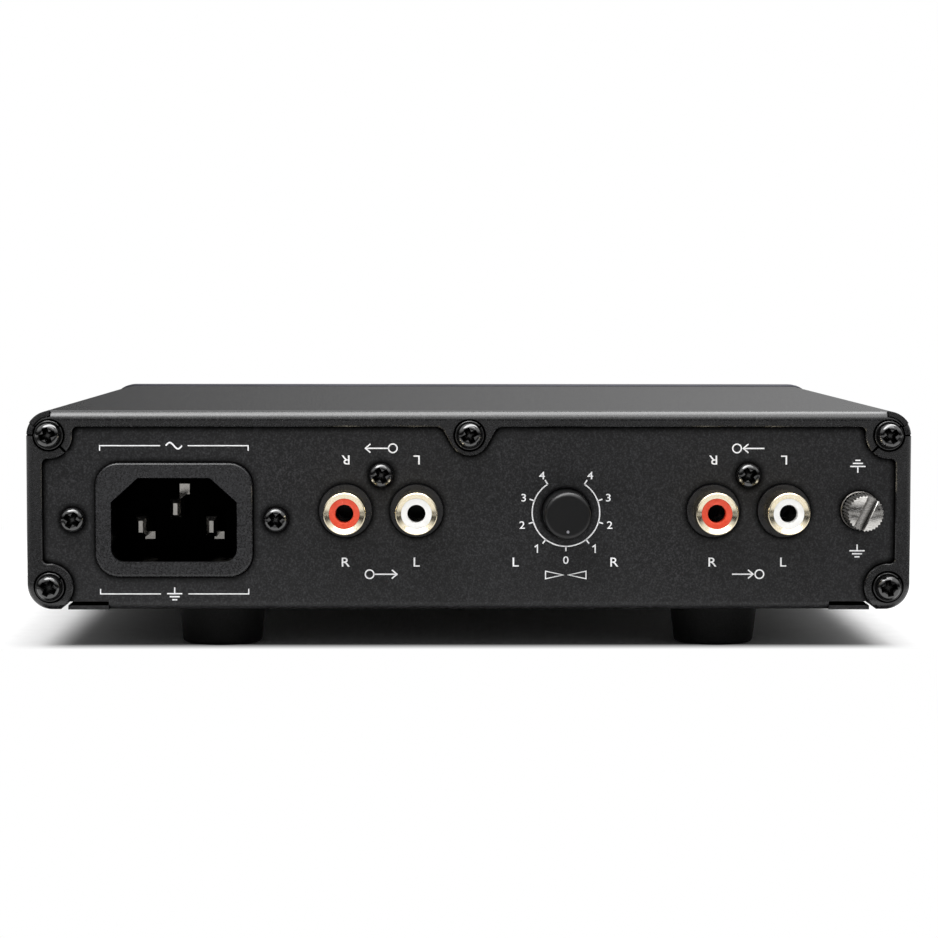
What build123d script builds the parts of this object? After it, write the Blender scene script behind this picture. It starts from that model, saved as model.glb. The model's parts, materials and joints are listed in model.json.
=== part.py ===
from build123d import *
import math
import os

# A phono preamp: a small mains-powered box that lifts a record player's signal to line level.
# All sizes are in millimetres. Pieces are drawn in a construction frame whose Y = 0 is the outer
# face of the connector panel, Z = 0 the underside of the case and X = 0 its middle. The connector
# panel faces -Y and the fascia faces +Y. At export everything moves to the part's own frame, whose
# origin lies on the surface the feet stand on, under the centre of the whole outline.

# ---------------------------------------------------------------- case: wrap-round cover
case_width = 174.5
case_height = 39.3
cover_depth = 150.0
cover_sheet = 1.0
cover_corner_radius = 5.0
cover_bend_radius = 1.9
return_width = 6.6
lip_top = 3.1
lip_side = 3.2
corner_ear_radius = 4.6
corner_ear_blend = 1.1
centre_ear_radius = 4.0
centre_ear_slope = 61.6
centre_ear_blend = 2.0
corner_screw_side_inset = 4.6
top_screw_inset = 4.8
low_screw_inset = 4.5
dimple_diameter = 6.1
dimple_depth = 0.5
dimple_mouth = 0.2
lip_edge = 0.2
corner_gap = 0.25
corner_setback = 0.35
relief_slit = 0.35
ear_split = 0.5
corner_slit_angle = 147.0
ear_split_angle = 45.0

# ---------------------------------------------------------------- case: folded chassis
chassis_sheet = 0.8
chassis_bend_radius = 1.6
chassis_side_gap = 1.5
panel_play = 0.2
bend_relief_height = 0.8
bend_relief_length = 8.0
upstand_height = 8.0
upstand_setback = 8.0
upstand_bend_radius = 0.72

# ---------------------------------------------------------------- case: fascia
fascia_thickness = 5.0
fascia_overhang = 0.4
fascia_back_edge = 0.3
fascia_edge_radius = 0.8
spigot_depth = 1.5
spigot_play = 0.2
fascia_screw_side_inset = 13.0
fascia_screw_low = 11.5
fascia_screw_rise = 19.0
fascia_screw_bite = 3.5

# ---------------------------------------------------------------- feet
foot_height = 8.7
foot_diameter = 18.0
foot_taper = 1.0
foot_edge_radius = 1.0
foot_side_inset = 37.0
foot_inset = 20.0
foot_web = 2.6
foot_counterbore = 8.0

# ---------------------------------------------------------------- fasteners
shank_diameter = 2.9
head_diameter = 4.8
head_height = 1.9
head_edge_radius = 1.14
tapped_play = 0.05
through_play = 0.25
cross_span = 3.3
cross_width = 1.2
cross_depth = 1.3
cross_taper = 15.0
lock_washer_diameter = 5.7
lock_washer_thickness = 0.6
lock_washer_edge = 0.15
lock_washer_groove = 0.25
lock_washer_split = 0.4
lock_washer_split_turn = 40.0
nut_width = 5.5
nut_height = 2.4
cover_screw_length = 5.5
fascia_screw_length = 4.0
foot_screw_length = 5.6
inlet_screw_length = 8.0
socket_screw_length = 6.5
board_screw_length = 5.0

# ---------------------------------------------------------------- mains inlet
inlet_side_inset = 29.1
inlet_z = 17.8
inlet_screw_pitch = 40.0
collar_width = 30.9
collar_height = 22.5
collar_radius = 4.6
collar_proud = 1.0
collar_edge_radius = 0.5
collar_play = 0.15
cavity_width = 24.8
cavity_height = 16.6
cavity_chamfer_x = 5.3
cavity_chamfer_z = 4.8
cavity_radius = 2.6
cavity_depth = 17.0
inlet_floor = 3.0
inlet_wall = 1.5
flange_length = 50.0
flange_height = 24.6
flange_thickness = 3.0
pin_pitch = 14.0
pin_drop = 1.7
earth_rise = 1.9
pin_width = 2.0
pin_height = 4.0
pin_bevel = 0.6
pin_end_bevel = 0.85
pin_recess = 4.6
earth_lead = 1.4
pin_play = 0.03
pin_tail = 4.0
pin_leg = 1.2
pin_tab = 1.5
earth_tab = 2.1
pin_tab_shift = 0.6
pin_tab_recess = 0.1

# ---------------------------------------------------------------- phono sockets
output_from_inlet = 40.75
input_from_ground = 22.0
socket_z = 19.6
socket_pitch = 14.0
socket_screw_rise = 7.0
socket_block_width = 26.0
socket_block_depth = 12.0
socket_block_shoulder = 25.4
socket_lug_width = 9.0
socket_lug_top = 30.6
boss_diameter = 10.3
boss_proud = 0.8
boss_play = 0.15
shell_diameter = 8.3
shell_wall = 0.9
shell_reach = 8.9
shell_seat = 4.0
shell_spigot_diameter = 7.6
shell_edge = 0.42
insulator_bore = 3.5
insulator_recess = 0.15
insulator_edge = 0.3
insulator_play = 0.03
contact_wall = 0.4
contact_recess = 3.0
contact_length = 9.0
pin_relief_diameter = 4.8
socket_block_floor = 1.0
socket_tap_depth = 7.5

# ---------------------------------------------------------------- balance control
balance_off_middle = 0.225
balance_z = 19.2
knob_diameter = 9.2
knob_reach = 8.7
knob_set_back = 2.0
knob_edge_radius = 0.9
knob_hole_diameter = 10.2
knob_dot_diameter = 0.7
knob_dot_drop = 3.1
knob_dot_depth = 0.25
shaft_diameter = 6.0
shaft_engagement = 6.0
shaft_flat_depth = 1.5
shaft_play = 0.05
pot_width = 11.0
pot_depth = 7.0
pot_top = 25.4
pot_gap = 0.5
pot_top_bevel = 1.0
pot_end_wall = 1.0

# ---------------------------------------------------------------- ground terminal
ground_side_inset = 10.2
ground_z = 19.65
ground_head_diameter = 7.1
ground_reach = 8.9
ground_knurls = 32
knurl_depth = 0.3
ground_face_radius = 8.5
ground_head_chamfer = 0.35
ground_slot_width = 2.0
ground_slot_depth = 2.2
ground_slot_lean = 26.0
ground_slot_edge = 0.15
ground_thread = 3.9
ground_thread_play = 0.05
ground_thread_length = 9.0
washer_diameter = 7.6
washer_thickness = 0.8
washer_edge = 0.2
clinch_nut_diameter = 8.0
clinch_nut_length = 5.2
clinch_spigot_diameter = 5.4

# ---------------------------------------------------------------- power button and indicator
button_side_inset = 25.0
button_z = 19.65
button_diameter = 9.8
button_play = 0.2
button_reach = 2.5
button_dish_radius = 18.0
button_dish_depth = 0.35
button_edge_radius = 0.5
button_collar_diameter = 12.0
button_collar_thickness = 1.5
button_collar_play = 0.7
button_stop_gap = 0.1
plunger_side = 3.6
plunger_play = 0.15
plunger_end_play = 0.6
plunger_overlap = 9.0
switch_width = 12.5
switch_length = 20.0
switch_height = 16.6
switch_stroke = 2.0
light_from_button = 14.0
light_pipe_diameter = 3.0
light_pipe_play = 0.05
light_pipe_tail = 1.2
light_pipe_edge = 0.2
led_diameter = 3.0
led_flange = 3.8
led_flange_thickness = 1.0
led_dome_radius = 1.35
led_length = 5.0
led_lead = 0.5
led_lead_reach = 1.0
led_lead_pitch = 2.54

# ---------------------------------------------------------------- boards
board_thickness = 1.6
standoff_height = 5.0
standoff_diameter = 5.0
board_hole_inset = 4.5
board_edge_gap = 1.0
board_parting = 5.0
main_board_rear = 2.0
main_board_length = 92.0
supply_board_reach = 21.9
supply_board_rear = 5.0
supply_board_front_gap = 4.0

# ---------------------------------------------------------------- parts on the boards
chip_length = 9.6
chip_width = 6.4
chip_height = 3.4
chip_stand = 0.6
chip_bevel = 0.6
chip_pitch = 2.54
chip_leg = 0.5
can_diameter = 8.0
can_height = 12.0
can_groove = 0.35
can_groove_height = 0.7
can_groove_rise = 2.0
film_length = 7.2
film_width = 3.6
film_height = 7.4
moulded_edge_radius = 0.5
relay_length = 15.0
relay_width = 7.4
relay_height = 9.5
core_length = 20.4
core_height = 20.4
core_centre_leg = 4.4
core_window = 2.8
core_yoke = 2.95
core_depth = 6.0
bobbin_wall = 0.8
bobbin_foot_length = 21.4
winding_play = 0.05
winding_radius = 1.6
winding_diameter = 15.5
bulk_diameter = 16.0
bulk_height = 25.0
bulk_groove_rise = 4.0
choke_outer = 17.0
choke_inner = 8.0
choke_height = 9.0
choke_stand = 1.2
fuse_diameter = 5.2
fuse_length = 20.0
fuse_tube_diameter = 4.8
fuse_cap_length = 5.0
fuse_axis_height = 5.4
clip_sheet = 0.5
clip_play = 0.05
clip_width = 4.0
clip_mouth = 2.65
clip_stem_width = 1.5
heatsink_length = 24.0
heatsink_height = 20.0
heatsink_base = 1.6
heatsink_fins = 5
fin_depth = 6.0
fin_thickness = 1.0
regulator_width = 10.0
regulator_thickness = 4.4
regulator_height = 15.0
header_length = 12.6
header_width = 5.8
header_height = 7.0
header_socket_depth = 3.5
link_width = 10.2
link_thickness = 1.3
link_play = 0.05
link_rise = 4.0
link_radius = 2.0
input_chip_places = ((-7.3, 34.0), (6.7, 34.0), (-0.3, 56.0))
output_chip_place = (3.15, 46.0)
relay_place = (3.15, 27.0)
can_count = 4
can_pitch = 12.0
can_row_start = -15.3
can_row_y = 78.0
film_columns = 4
film_rows = 2
film_pitch = 8.0
film_row_pitch = 12.0
film_row_start = -13.3
film_row_y = 34.0
transformer_place = (0.9, 87.0)
bulk_place = (-8.1, 66.0)
choke_place = (9.9, 42.0)
fuse_place = (-12.1, 35.0)
heatsink_place = (5.9, 110.0)
regulator_pitch = 12.0
link_y = 60.0

# ---------------------------------------------------------------- places worked out from the sizes
half_width = case_width / 2
cover_rear = -cover_sheet
cover_front = cover_rear + cover_depth
fascia_front = cover_front + fascia_thickness
chassis_front = cover_front - spigot_depth
panel_inner = chassis_sheet
return_edge = half_width - return_width
base_half = return_edge - chassis_side_gap
panel_half = half_width - cover_sheet - panel_play
panel_top = case_height - cover_sheet - panel_play
panel_foot = chassis_sheet + bend_relief_height
bend_half = base_half - bend_relief_length
corner_screw_x = half_width - corner_screw_side_inset
inlet_x = inlet_side_inset - half_width
output_x = inlet_x + output_from_inlet
ground_x = half_width - ground_side_inset
input_x = ground_x - input_from_ground
balance_x = (output_x + input_x) / 2 + balance_off_middle
button_x = button_side_inset - half_width
light_x = button_x + light_from_button
supply_board_right = inlet_x + supply_board_reach
main_board_left = supply_board_right + board_parting
top_screw_z = case_height - top_screw_inset
board_underside = chassis_sheet + standoff_height
board_top = board_underside + board_thickness
board_limit = base_half - chassis_sheet - board_edge_gap
supply_board_front = chassis_front - chassis_sheet - supply_board_front_gap
rear_reach = max(ground_reach, shell_reach, knob_reach)
overall_length = rear_reach + fascia_front + button_reach
panel_y = rear_reach - overall_length / 2
shank_radius = shank_diameter / 2
tapped_radius = shank_radius + tapped_play
through_radius = shank_radius + through_play


# ---------------------------------------------------------------- drawing helpers
def block(x_range, y_range, z_range):
    """Box between two limits on each axis."""
    size = [high - low for low, high in (x_range, y_range, z_range)]
    solid = Box(*size, align=(Align.MIN, Align.MIN, Align.MIN))
    return Pos(x_range[0], y_range[0], z_range[0]) * solid


def span(centre, length):
    """Limits of a length that lies evenly about a centre."""
    return (centre - length / 2, centre + length / 2)


def rod_y(x, z, radius, y_low, y_high):
    """Cylinder along Y."""
    solid = Cylinder(radius, y_high - y_low, align=(Align.CENTER, Align.CENTER, Align.MIN))
    return Pos(x, y_high, z) * Rot(90, 0, 0) * solid


def rod_z(x, y, radius, z_low, z_high):
    """Cylinder along Z."""
    solid = Cylinder(radius, z_high - z_low, align=(Align.CENTER, Align.CENTER, Align.MIN))
    return Pos(x, y, z_low) * solid


def plate_y(sketch, y_low, y_high):
    """An X-Z outline given its thickness along Y."""
    return extrude(Plane.XZ.offset(-y_high) * sketch, amount=y_high - y_low)


def plate_z(sketch, z_low, z_high):
    """An X-Y outline given its thickness along Z."""
    return extrude(Pos(0, 0, z_low) * sketch, amount=z_high - z_low)


def rounded(width, height, radius, x=0.0, y=0.0):
    """Rounded rectangle about a centre."""
    return Pos(x, y) * RectangleRounded(width, height, radius)


def pan_screw(length, turn):
    """Cross-recessed pan head screw: seat at Z = 0, head above it, shank below."""
    head = Cylinder(head_diameter / 2, head_height, align=(Align.CENTER, Align.CENTER, Align.MIN))
    head = fillet(head.edges().group_by(Axis.Z)[-1], head_edge_radius)
    arm = Rectangle(cross_span, cross_width)
    star = Pos(0, 0, head_height) * Rot(0, 0, turn) * (arm + Rot(0, 0, 90) * arm)
    cross = extrude(star, amount=cross_depth, dir=(0, 0, -1), taper=cross_taper)
    shank = Cylinder(shank_radius, length, align=(Align.CENTER, Align.CENTER, Align.MAX))
    return head - cross + shank


def lock_screw(length, turn):
    """Pan head screw with a captive spring washer, split at one place: seat at Z = 0."""
    radius = lock_washer_diameter / 2
    washer = Cylinder(radius, lock_washer_thickness, align=(Align.CENTER, Align.CENTER, Align.MIN))
    washer = fillet(washer.edges().group_by(Axis.Z)[-1], lock_washer_edge)
    split = block((shank_radius, radius), span(0, lock_washer_split), (0, lock_washer_thickness))
    washer -= Rot(0, 0, lock_washer_split_turn) * split
    neck = Cylinder((head_diameter - lock_washer_groove) / 2, lock_washer_groove,
                    align=(Align.CENTER, Align.CENTER, Align.MIN))
    screw = Pos(0, 0, lock_washer_groove) * pan_screw(length, turn) + neck
    return Pos(0, 0, lock_washer_thickness) * screw + washer


def towards_rear(x, seat_y, z, screw):
    """A screw with its head looking out of the connector panel."""
    return Pos(x, seat_y, z) * Rot(90, 0, 0) * screw


def hex_nut_y(x, y_low, z):
    """Hexagon nut on an axis along Y."""
    outline = Pos(x, z) * (RegularPolygon(nut_width / 2, 6, major_radius=False) - Circle(tapped_radius))
    return plate_y(outline, y_low, y_low + nut_height)


nodes = {}


def keep(name, *solids):
    """Put a node, made of one solid or a group of like solids, on the list to be written."""
    nodes[name] = solids


# ---------------------------------------------------------------- wrap-round cover
def case_outline(inset):
    """Outline of the case's end, moved inwards."""
    width = case_width - 2 * inset
    height = case_height - 2 * inset
    return rounded(width, height, cover_corner_radius - inset, 0, case_height / 2)


def corner_screw_places():
    """The four corner screws: side, and height."""
    return [(side, z) for z in (top_screw_z, low_screw_inset) for side in (-1, 1)]


def cover_screw_places():
    """Centres of all five cover screws, on the panel."""
    corners = [(side * corner_screw_x, z) for side, z in corner_screw_places()]
    return corners + [(0.0, top_screw_z)]


def panel_window():
    """The opening that the cover's rear lip leaves, with an ear round every screw."""
    top = case_height - lip_top
    side = half_width - lip_side
    window = Pos(0, (top - case_height) / 2) * Rectangle(2 * side, top + case_height)
    for place, z in corner_screw_places():
        window -= Pos(place * corner_screw_x, z) * Circle(corner_ear_radius)
    lean = math.radians(centre_ear_slope)
    touch_x = centre_ear_radius * math.sin(lean)
    touch_z = top_screw_z - centre_ear_radius * math.cos(lean)
    root_x = touch_x + (top - touch_z) / math.tan(lean)
    flanks = Polygon((-root_x, top), (-touch_x, touch_z), (touch_x, touch_z), (root_x, top), align=None)
    window -= Pos(0, top_screw_z) * Circle(centre_ear_radius) + flanks
    for vertex in window.vertices():
        if abs(vertex.Y - top) < 0.01 and abs(abs(vertex.X) - root_x) < 0.01:
            window = fillet(window.vertices().sort_by_distance(vertex)[0], centre_ear_blend)
    for vertex in window.vertices():
        at_top = abs(vertex.Y - top) < 0.01 and abs(vertex.X) > side - 2 * corner_ear_radius
        at_side = abs(abs(vertex.X) - side) < 0.01 and 0 < vertex.Y < top - corner_ear_blend
        if at_top or at_side:
            window = fillet(window.vertices().sort_by_distance(vertex)[0], corner_ear_blend)
    return window


def slit(side, angle, width, start, reach):
    """Narrow saw cut through the lip, running outwards from a top corner screw."""
    cut = Box(reach, 3 * cover_sheet, width, align=(Align.MIN, Align.CENTER, Align.CENTER))
    cut = Pos(start, 0, 0) * cut
    turned = Rot(0, -angle, 0) * cut
    placed = Pos(corner_screw_x, 0, top_screw_z) * turned
    return placed if side > 0 else mirror(placed, about=Plane.YZ)


def flared(outline, depth):
    """Cut with sides at 45 degrees, from an outline on the lip's face down to a smaller one."""
    return extrude(Plane.XZ.offset(-cover_rear) * outline, amount=depth, dir=(0, 1, 0), taper=45)


def corner_sector(side, outer, inner):
    """Piece of a ring about a top corner's centre, from the top's edge round to the corner slit."""
    reach = 2 * cover_corner_radius
    angle = math.radians(180 - corner_slit_angle)
    wedge = Polygon((corner_gap, 0), (corner_gap, reach), (reach, reach),
                    (reach, reach * math.tan(angle)), align=None)
    ring = (Circle(outer) - Circle(inner)) & wedge
    if side < 0:
        ring = mirror(ring, about=Plane.YZ)
    return Pos(side * (half_width - cover_corner_radius), case_height - cover_corner_radius) * ring


def top_cover():
    """Top, sides, bottom returns and the folded rear lip, all from one sheet."""
    wrap = plate_y(case_outline(0), cover_rear, cover_front)
    rear_rim = wrap.faces().sort_by(Axis.Y)[0].outer_wire().edges()
    wrap = fillet(rear_rim, cover_bend_radius)
    wrap -= plate_y(case_outline(cover_sheet), 0, cover_front)
    window = panel_window()
    wrap -= plate_y(window, cover_rear, 0)
    wrap -= flared(offset(window, lip_edge), lip_edge)
    wrap -= block((-return_edge, return_edge), (cover_rear, cover_front), (0, cover_sheet))
    for x, z in cover_screw_places():
        wrap -= rod_y(x, z, dimple_diameter / 2, cover_rear, cover_rear + dimple_depth)
        wrap -= flared(Pos(x, z) * Circle(dimple_diameter / 2 + dimple_mouth), dimple_mouth)
        wrap -= rod_y(x, z, through_radius, cover_rear, 0)
    dimple_radius = dimple_diameter / 2
    outwards = corner_screw_side_inset + cover_corner_radius
    inside = cover_corner_radius - cover_sheet
    for side in (-1, 1):
        wrap -= slit(side, 0, relief_slit, dimple_radius, outwards)
        wrap -= slit(side, 180 - corner_slit_angle, relief_slit, dimple_radius, outwards)
        wrap -= slit(side, ear_split_angle - 180, ear_split, dimple_radius, corner_ear_radius)
        wall = corner_sector(side, cover_corner_radius, inside)
        wrap -= plate_y(wall, cover_rear, cover_rear + corner_setback)
        wrap += plate_y(wall, cover_rear + corner_setback, cover_rear + cover_bend_radius)
        wrap -= plate_y(corner_sector(side, inside, inside - corner_gap), cover_rear, 0)
        bend_end = side * (half_width - cover_corner_radius + corner_gap / 2)
        sheet = (case_height - cover_sheet - corner_gap, case_height)
        wrap -= block(span(bend_end, corner_gap), (cover_rear, 0), sheet)
    return wrap


# ---------------------------------------------------------------- folded chassis
def folded_u(length, top):
    """Side view of the centre strip: rear panel, base and front flange with round bends."""
    outer = Rectangle(length, top, align=(Align.MIN, Align.MIN))
    outer = fillet(outer.vertices().group_by(Axis.Y)[0], chassis_bend_radius)
    inside = Rectangle(length - 2 * chassis_sheet, top, align=(Align.MIN, Align.MIN))
    inner = Pos(chassis_sheet, chassis_sheet) * inside
    inner = fillet(inner.vertices().group_by(Axis.Y)[0], chassis_bend_radius - chassis_sheet)
    return outer - inner


def end_panel(y_low):
    """Panel outline above the bend reliefs, inside the cover, as wide as the case allows."""
    width = 2 * panel_half
    radius = cover_corner_radius - cover_sheet - panel_play
    outline = rounded(width, panel_top - cover_sheet - panel_play, radius, 0,
                      (panel_top + cover_sheet + panel_play) / 2)
    outline &= Pos(0, panel_foot) * Rectangle(width, panel_top, align=(Align.CENTER, Align.MIN))
    return plate_y(outline, y_low, y_low + chassis_sheet)


def inlet_cutout():
    """Hole for the inlet's collar."""
    outline = rounded(collar_width + 2 * collar_play, collar_height + 2 * collar_play,
                      collar_radius + collar_play, inlet_x, inlet_z)
    return plate_y(outline, 0, panel_inner)


def socket_centres():
    """Each phono socket's name, centre and colour of its pair: right first, then left."""
    places = []
    for pair, x in (("output", output_x), ("input", input_x)):
        for channel, side in (("right", -1), ("left", 1)):
            places.append((pair, channel, x + side * socket_pitch / 2))
    return places


def foot_places():
    """Each foot's name and centre under the base."""
    places = []
    for end, y in (("rear", foot_inset), ("front", chassis_front - foot_inset)):
        for side, x in (("left", foot_side_inset - half_width), ("right", half_width - foot_side_inset)):
            places.append((f"foot_{end}_{side}", x, y))
    return places


def board_holes(left, right, rear, front):
    """Four fixing holes, one near each corner of a board."""
    inset = board_hole_inset
    return [(x, y) for x in (left + inset, right - inset) for y in (rear + inset, front - inset)]


main_board_front = main_board_rear + main_board_length
main_rear_hole = main_board_rear + socket_block_depth
main_holes = board_holes(main_board_left, board_limit, main_rear_hole, main_board_front)
supply_rear_hole = supply_board_rear + pin_tail + cavity_depth
supply_holes = board_holes(-board_limit, supply_board_right, supply_rear_hole, supply_board_front)


def fascia_screw_places():
    """Centres of the four screws that hold the fascia."""
    heights = (fascia_screw_low, fascia_screw_low + fascia_screw_rise)
    return [(side * (half_width - fascia_screw_side_inset), z) for side in (-1, 1) for z in heights]


def base_wing():
    """Right-hand strip of the base beyond the end bends, with its side upstand folded up."""
    inner_x = base_half - chassis_sheet
    wall_range = (upstand_setback, chassis_front - upstand_setback)
    wing = block((bend_half, base_half), (0, chassis_front), (0, chassis_sheet))
    wing -= block((inner_x, base_half), (wall_range[0] - relief_slit, wall_range[1] + relief_slit),
                  (0, chassis_sheet))
    wall = block((inner_x, base_half), wall_range, (0, upstand_height))
    outer_edge = wall.edges().filter_by(Axis.Y).group_by(Axis.Z)[0].sort_by(Axis.X)[-1]
    return wing + fillet(outer_edge, upstand_bend_radius)


def chassis():
    """Base, connector panel, front flange and side upstands, folded from one sheet."""
    side_view = Plane.YZ.offset(-bend_half) * folded_u(chassis_front, panel_top)
    sheet = extrude(side_view, amount=2 * bend_half)
    sheet += base_wing()
    sheet += mirror(base_wing(), about=Plane.YZ)
    sheet += end_panel(0)
    sheet += end_panel(chassis_front - chassis_sheet)
    for x, z in cover_screw_places():
        sheet -= rod_y(x, z, tapped_radius, 0, panel_inner)
    sheet -= inlet_cutout()
    for side in (-1, 1):
        x = inlet_x + side * inlet_screw_pitch / 2
        sheet -= rod_y(x, inlet_z, through_radius, 0, panel_inner)
    for pair, channel, x in socket_centres():
        sheet -= rod_y(x, socket_z, boss_diameter / 2 + boss_play, 0, panel_inner)
    for x in (output_x, input_x):
        sheet -= rod_y(x, socket_z + socket_screw_rise, through_radius, 0, panel_inner)
    sheet -= rod_y(balance_x, balance_z, knob_hole_diameter / 2, 0, panel_inner)
    sheet -= rod_y(ground_x, ground_z, clinch_spigot_diameter / 2, 0, panel_inner)
    flange_rear = chassis_front - chassis_sheet
    for x, z in fascia_screw_places():
        sheet -= rod_y(x, z, through_radius, flange_rear, chassis_front)
    collar_radius_open = button_collar_diameter / 2 + button_collar_play
    sheet -= rod_y(button_x, button_z, collar_radius_open, flange_rear, chassis_front)
    sheet -= rod_y(light_x, button_z, light_pipe_diameter / 2 + through_play, flange_rear, chassis_front)
    for name, x, y in foot_places():
        sheet -= rod_z(x, y, tapped_radius, 0, chassis_sheet)
    return sheet


# ---------------------------------------------------------------- fascia
def front_fascia():
    """Thick plate that stands a little proud of the cover, with a step that fits inside it."""
    outline = case_outline(-fascia_overhang)
    plate = plate_y(outline, cover_front, fascia_front)
    front_rim = plate.faces().sort_by(Axis.Y)[-1].outer_wire().edges()
    plate = fillet(front_rim, fascia_edge_radius)
    plate = chamfer(plate.faces().sort_by(Axis.Y)[0].outer_wire().edges(), fascia_back_edge)
    plate += plate_y(case_outline(cover_sheet + spigot_play), chassis_front, cover_front)
    button_hole = button_diameter / 2 + button_play
    light_hole = light_pipe_diameter / 2 + light_pipe_play
    plate -= rod_y(button_x, button_z, button_hole, chassis_front, fascia_front)
    plate -= rod_y(light_x, button_z, light_hole, chassis_front, fascia_front)
    for x, z in fascia_screw_places():
        plate -= rod_y(x, z, tapped_radius, chassis_front, chassis_front + fascia_screw_bite)
    return plate


# ---------------------------------------------------------------- feet and screws
def foot(x, y):
    """Round moulded foot, open below round its screw."""
    top_radius = foot_diameter / 2
    low_radius = top_radius - foot_taper
    outline = Polygon((0, 0), (top_radius, 0), (low_radius, -foot_height), (0, -foot_height), align=None)
    body = revolve(Plane.XZ * outline, axis=Axis.Z)
    body = fillet(body.edges().group_by(Axis.Z)[0], foot_edge_radius)
    body -= rod_z(0, 0, foot_counterbore / 2, -foot_height, -foot_web)
    body -= rod_z(0, 0, through_radius, -foot_web, 0)
    return Pos(x, y, 0) * body


def foot_screw(x, y, turn):
    """Screw up through a foot into the base."""
    return Pos(x, y, -foot_web) * Rot(180, 0, 0) * pan_screw(foot_screw_length, turn)


# ---------------------------------------------------------------- mains inlet
def inlet_cavity_outline():
    """Keyed opening of the inlet: sloping top corners, round bottom corners."""
    half = cavity_width / 2
    low = -cavity_height / 2
    high = cavity_height / 2
    outline = Polygon((-half, low), (half, low), (half, high - cavity_chamfer_z),
                      (half - cavity_chamfer_x, high), (-half + cavity_chamfer_x, high),
                      (-half, high - cavity_chamfer_z), align=None)
    return fillet(outline.vertices().group_by(Axis.Y)[0], cavity_radius)


inlet_floor_y = cavity_depth - collar_proud
inlet_rear = inlet_floor_y + inlet_floor


def inlet_housing():
    """Collar through the panel, flange behind it, keyed cavity and a floor that holds the pins."""
    collar = plate_y(rounded(collar_width, collar_height, collar_radius), -collar_proud, panel_inner)
    collar = fillet(collar.faces().sort_by(Axis.Y)[0].outer_wire().edges(), collar_edge_radius)
    flange = plate_y(rounded(flange_length, flange_height, collar_radius), panel_inner,
                     panel_inner + flange_thickness)
    body_outline = rounded(cavity_width + 2 * inlet_wall, cavity_height + 2 * inlet_wall,
                           cavity_radius + inlet_wall)
    body = plate_y(body_outline, panel_inner, inlet_rear)
    housing = collar + flange + body
    housing -= plate_y(inlet_cavity_outline(), -collar_proud, inlet_floor_y)
    for side in (-1, 1):
        housing -= rod_y(side * inlet_screw_pitch / 2, 0, through_radius, panel_inner,
                         panel_inner + flange_thickness)
    slot_width = pin_width + 2 * pin_play
    for x, z, reach in inlet_pin_places():
        blade_slot = Pos(x, z) * Rectangle(slot_width, pin_height + 2 * pin_play)
        tab_slot = Rectangle(slot_width, abs(reach) + 2 * pin_play)
        opening = blade_slot + Pos(x + pin_tab_shift, z + tab_middle(reach)) * tab_slot
        housing -= plate_y(opening, inlet_floor_y, inlet_rear)
    return Pos(inlet_x, 0, inlet_z) * housing


def inlet_pin_places():
    """Live, neutral and the raised earth pin, each with how far its tab reaches, upwards if above 0."""
    sides = [(side * pin_pitch / 2, -pin_drop, -pin_tab) for side in (-1, 1)]
    return sides + [(0.0, earth_rise, earth_tab)]


def tab_middle(reach):
    """Height of a tab's middle above its pin's middle."""
    return math.copysign(pin_height / 2, reach) + reach / 2


def inlet_pin(x, z, reach, lead):
    """Blade with a bevelled tip and a tab held in the floor, cranked down into the supply board."""
    tip = pin_recess - collar_proud - lead
    leg_y = inlet_rear + pin_tail
    blade = block(span(0, pin_width), (tip, leg_y), span(0, pin_height))
    for along, bevel in ((Axis.Z, pin_bevel), (Axis.X, pin_end_bevel)):
        tip_face = blade.faces().sort_by(Axis.Y)[0]
        blade = chamfer(tip_face.edges().filter_by(along), bevel)
    foot_z = board_underside - pin_leg - inlet_z - z
    leg = block(span(0, pin_leg), (leg_y - pin_leg, leg_y), (foot_z, 0))
    tab = block(span(pin_tab_shift, pin_width), (inlet_floor_y + pin_tab_recess, inlet_rear),
                span(tab_middle(reach), abs(reach)))
    return Pos(inlet_x + x, 0, inlet_z + z) * (blade + leg + tab)


# ---------------------------------------------------------------- phono sockets
def socket_block(x):
    """Moulded block behind the panel, with two bosses through it and a screw lug between them."""
    bottom = board_top
    depth = (panel_inner, panel_inner + socket_block_depth)
    body = block(span(x, socket_block_width), depth, (bottom, socket_block_shoulder))
    lug = block(span(x, socket_lug_width), depth, (bottom, socket_lug_top))
    lug = fillet(lug.edges().filter_by(Axis.Y).group_by(Axis.Z)[-1], corner_ear_blend)
    body += lug
    for side in (-1, 1):
        centre = x + side * socket_pitch / 2
        body += rod_y(centre, socket_z, boss_diameter / 2, -boss_proud, panel_inner)
    spigot_hole = shell_spigot_diameter / 2 + insulator_play
    relief_end = depth[1] - socket_block_floor
    for side in (-1, 1):
        centre = x + side * socket_pitch / 2
        body -= rod_y(centre, socket_z, spigot_hole, -boss_proud, shell_seat)
        body -= rod_y(centre, socket_z, pin_relief_diameter / 2, shell_seat, relief_end)
    screw_z = socket_z + socket_screw_rise
    body -= rod_y(x, screw_z, tapped_radius, panel_inner, panel_inner + socket_tap_depth)
    return body


def socket_shell(x):
    """Plated outer barrel of one socket, shouldered on its boss, with a spigot inside the block."""
    outer = rod_y(x, socket_z, shell_diameter / 2, -shell_reach, -boss_proud)
    outer = fillet(outer.edges().group_by(Axis.Y)[0], shell_edge)
    outer += rod_y(x, socket_z, shell_spigot_diameter / 2, -boss_proud, shell_seat)
    barrel = outer - rod_y(x, socket_z, shell_diameter / 2 - shell_wall, -shell_reach, shell_seat)
    return fillet(barrel.faces().sort_by(Axis.Y)[0].inner_wires()[0].edges(), shell_edge)


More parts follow.
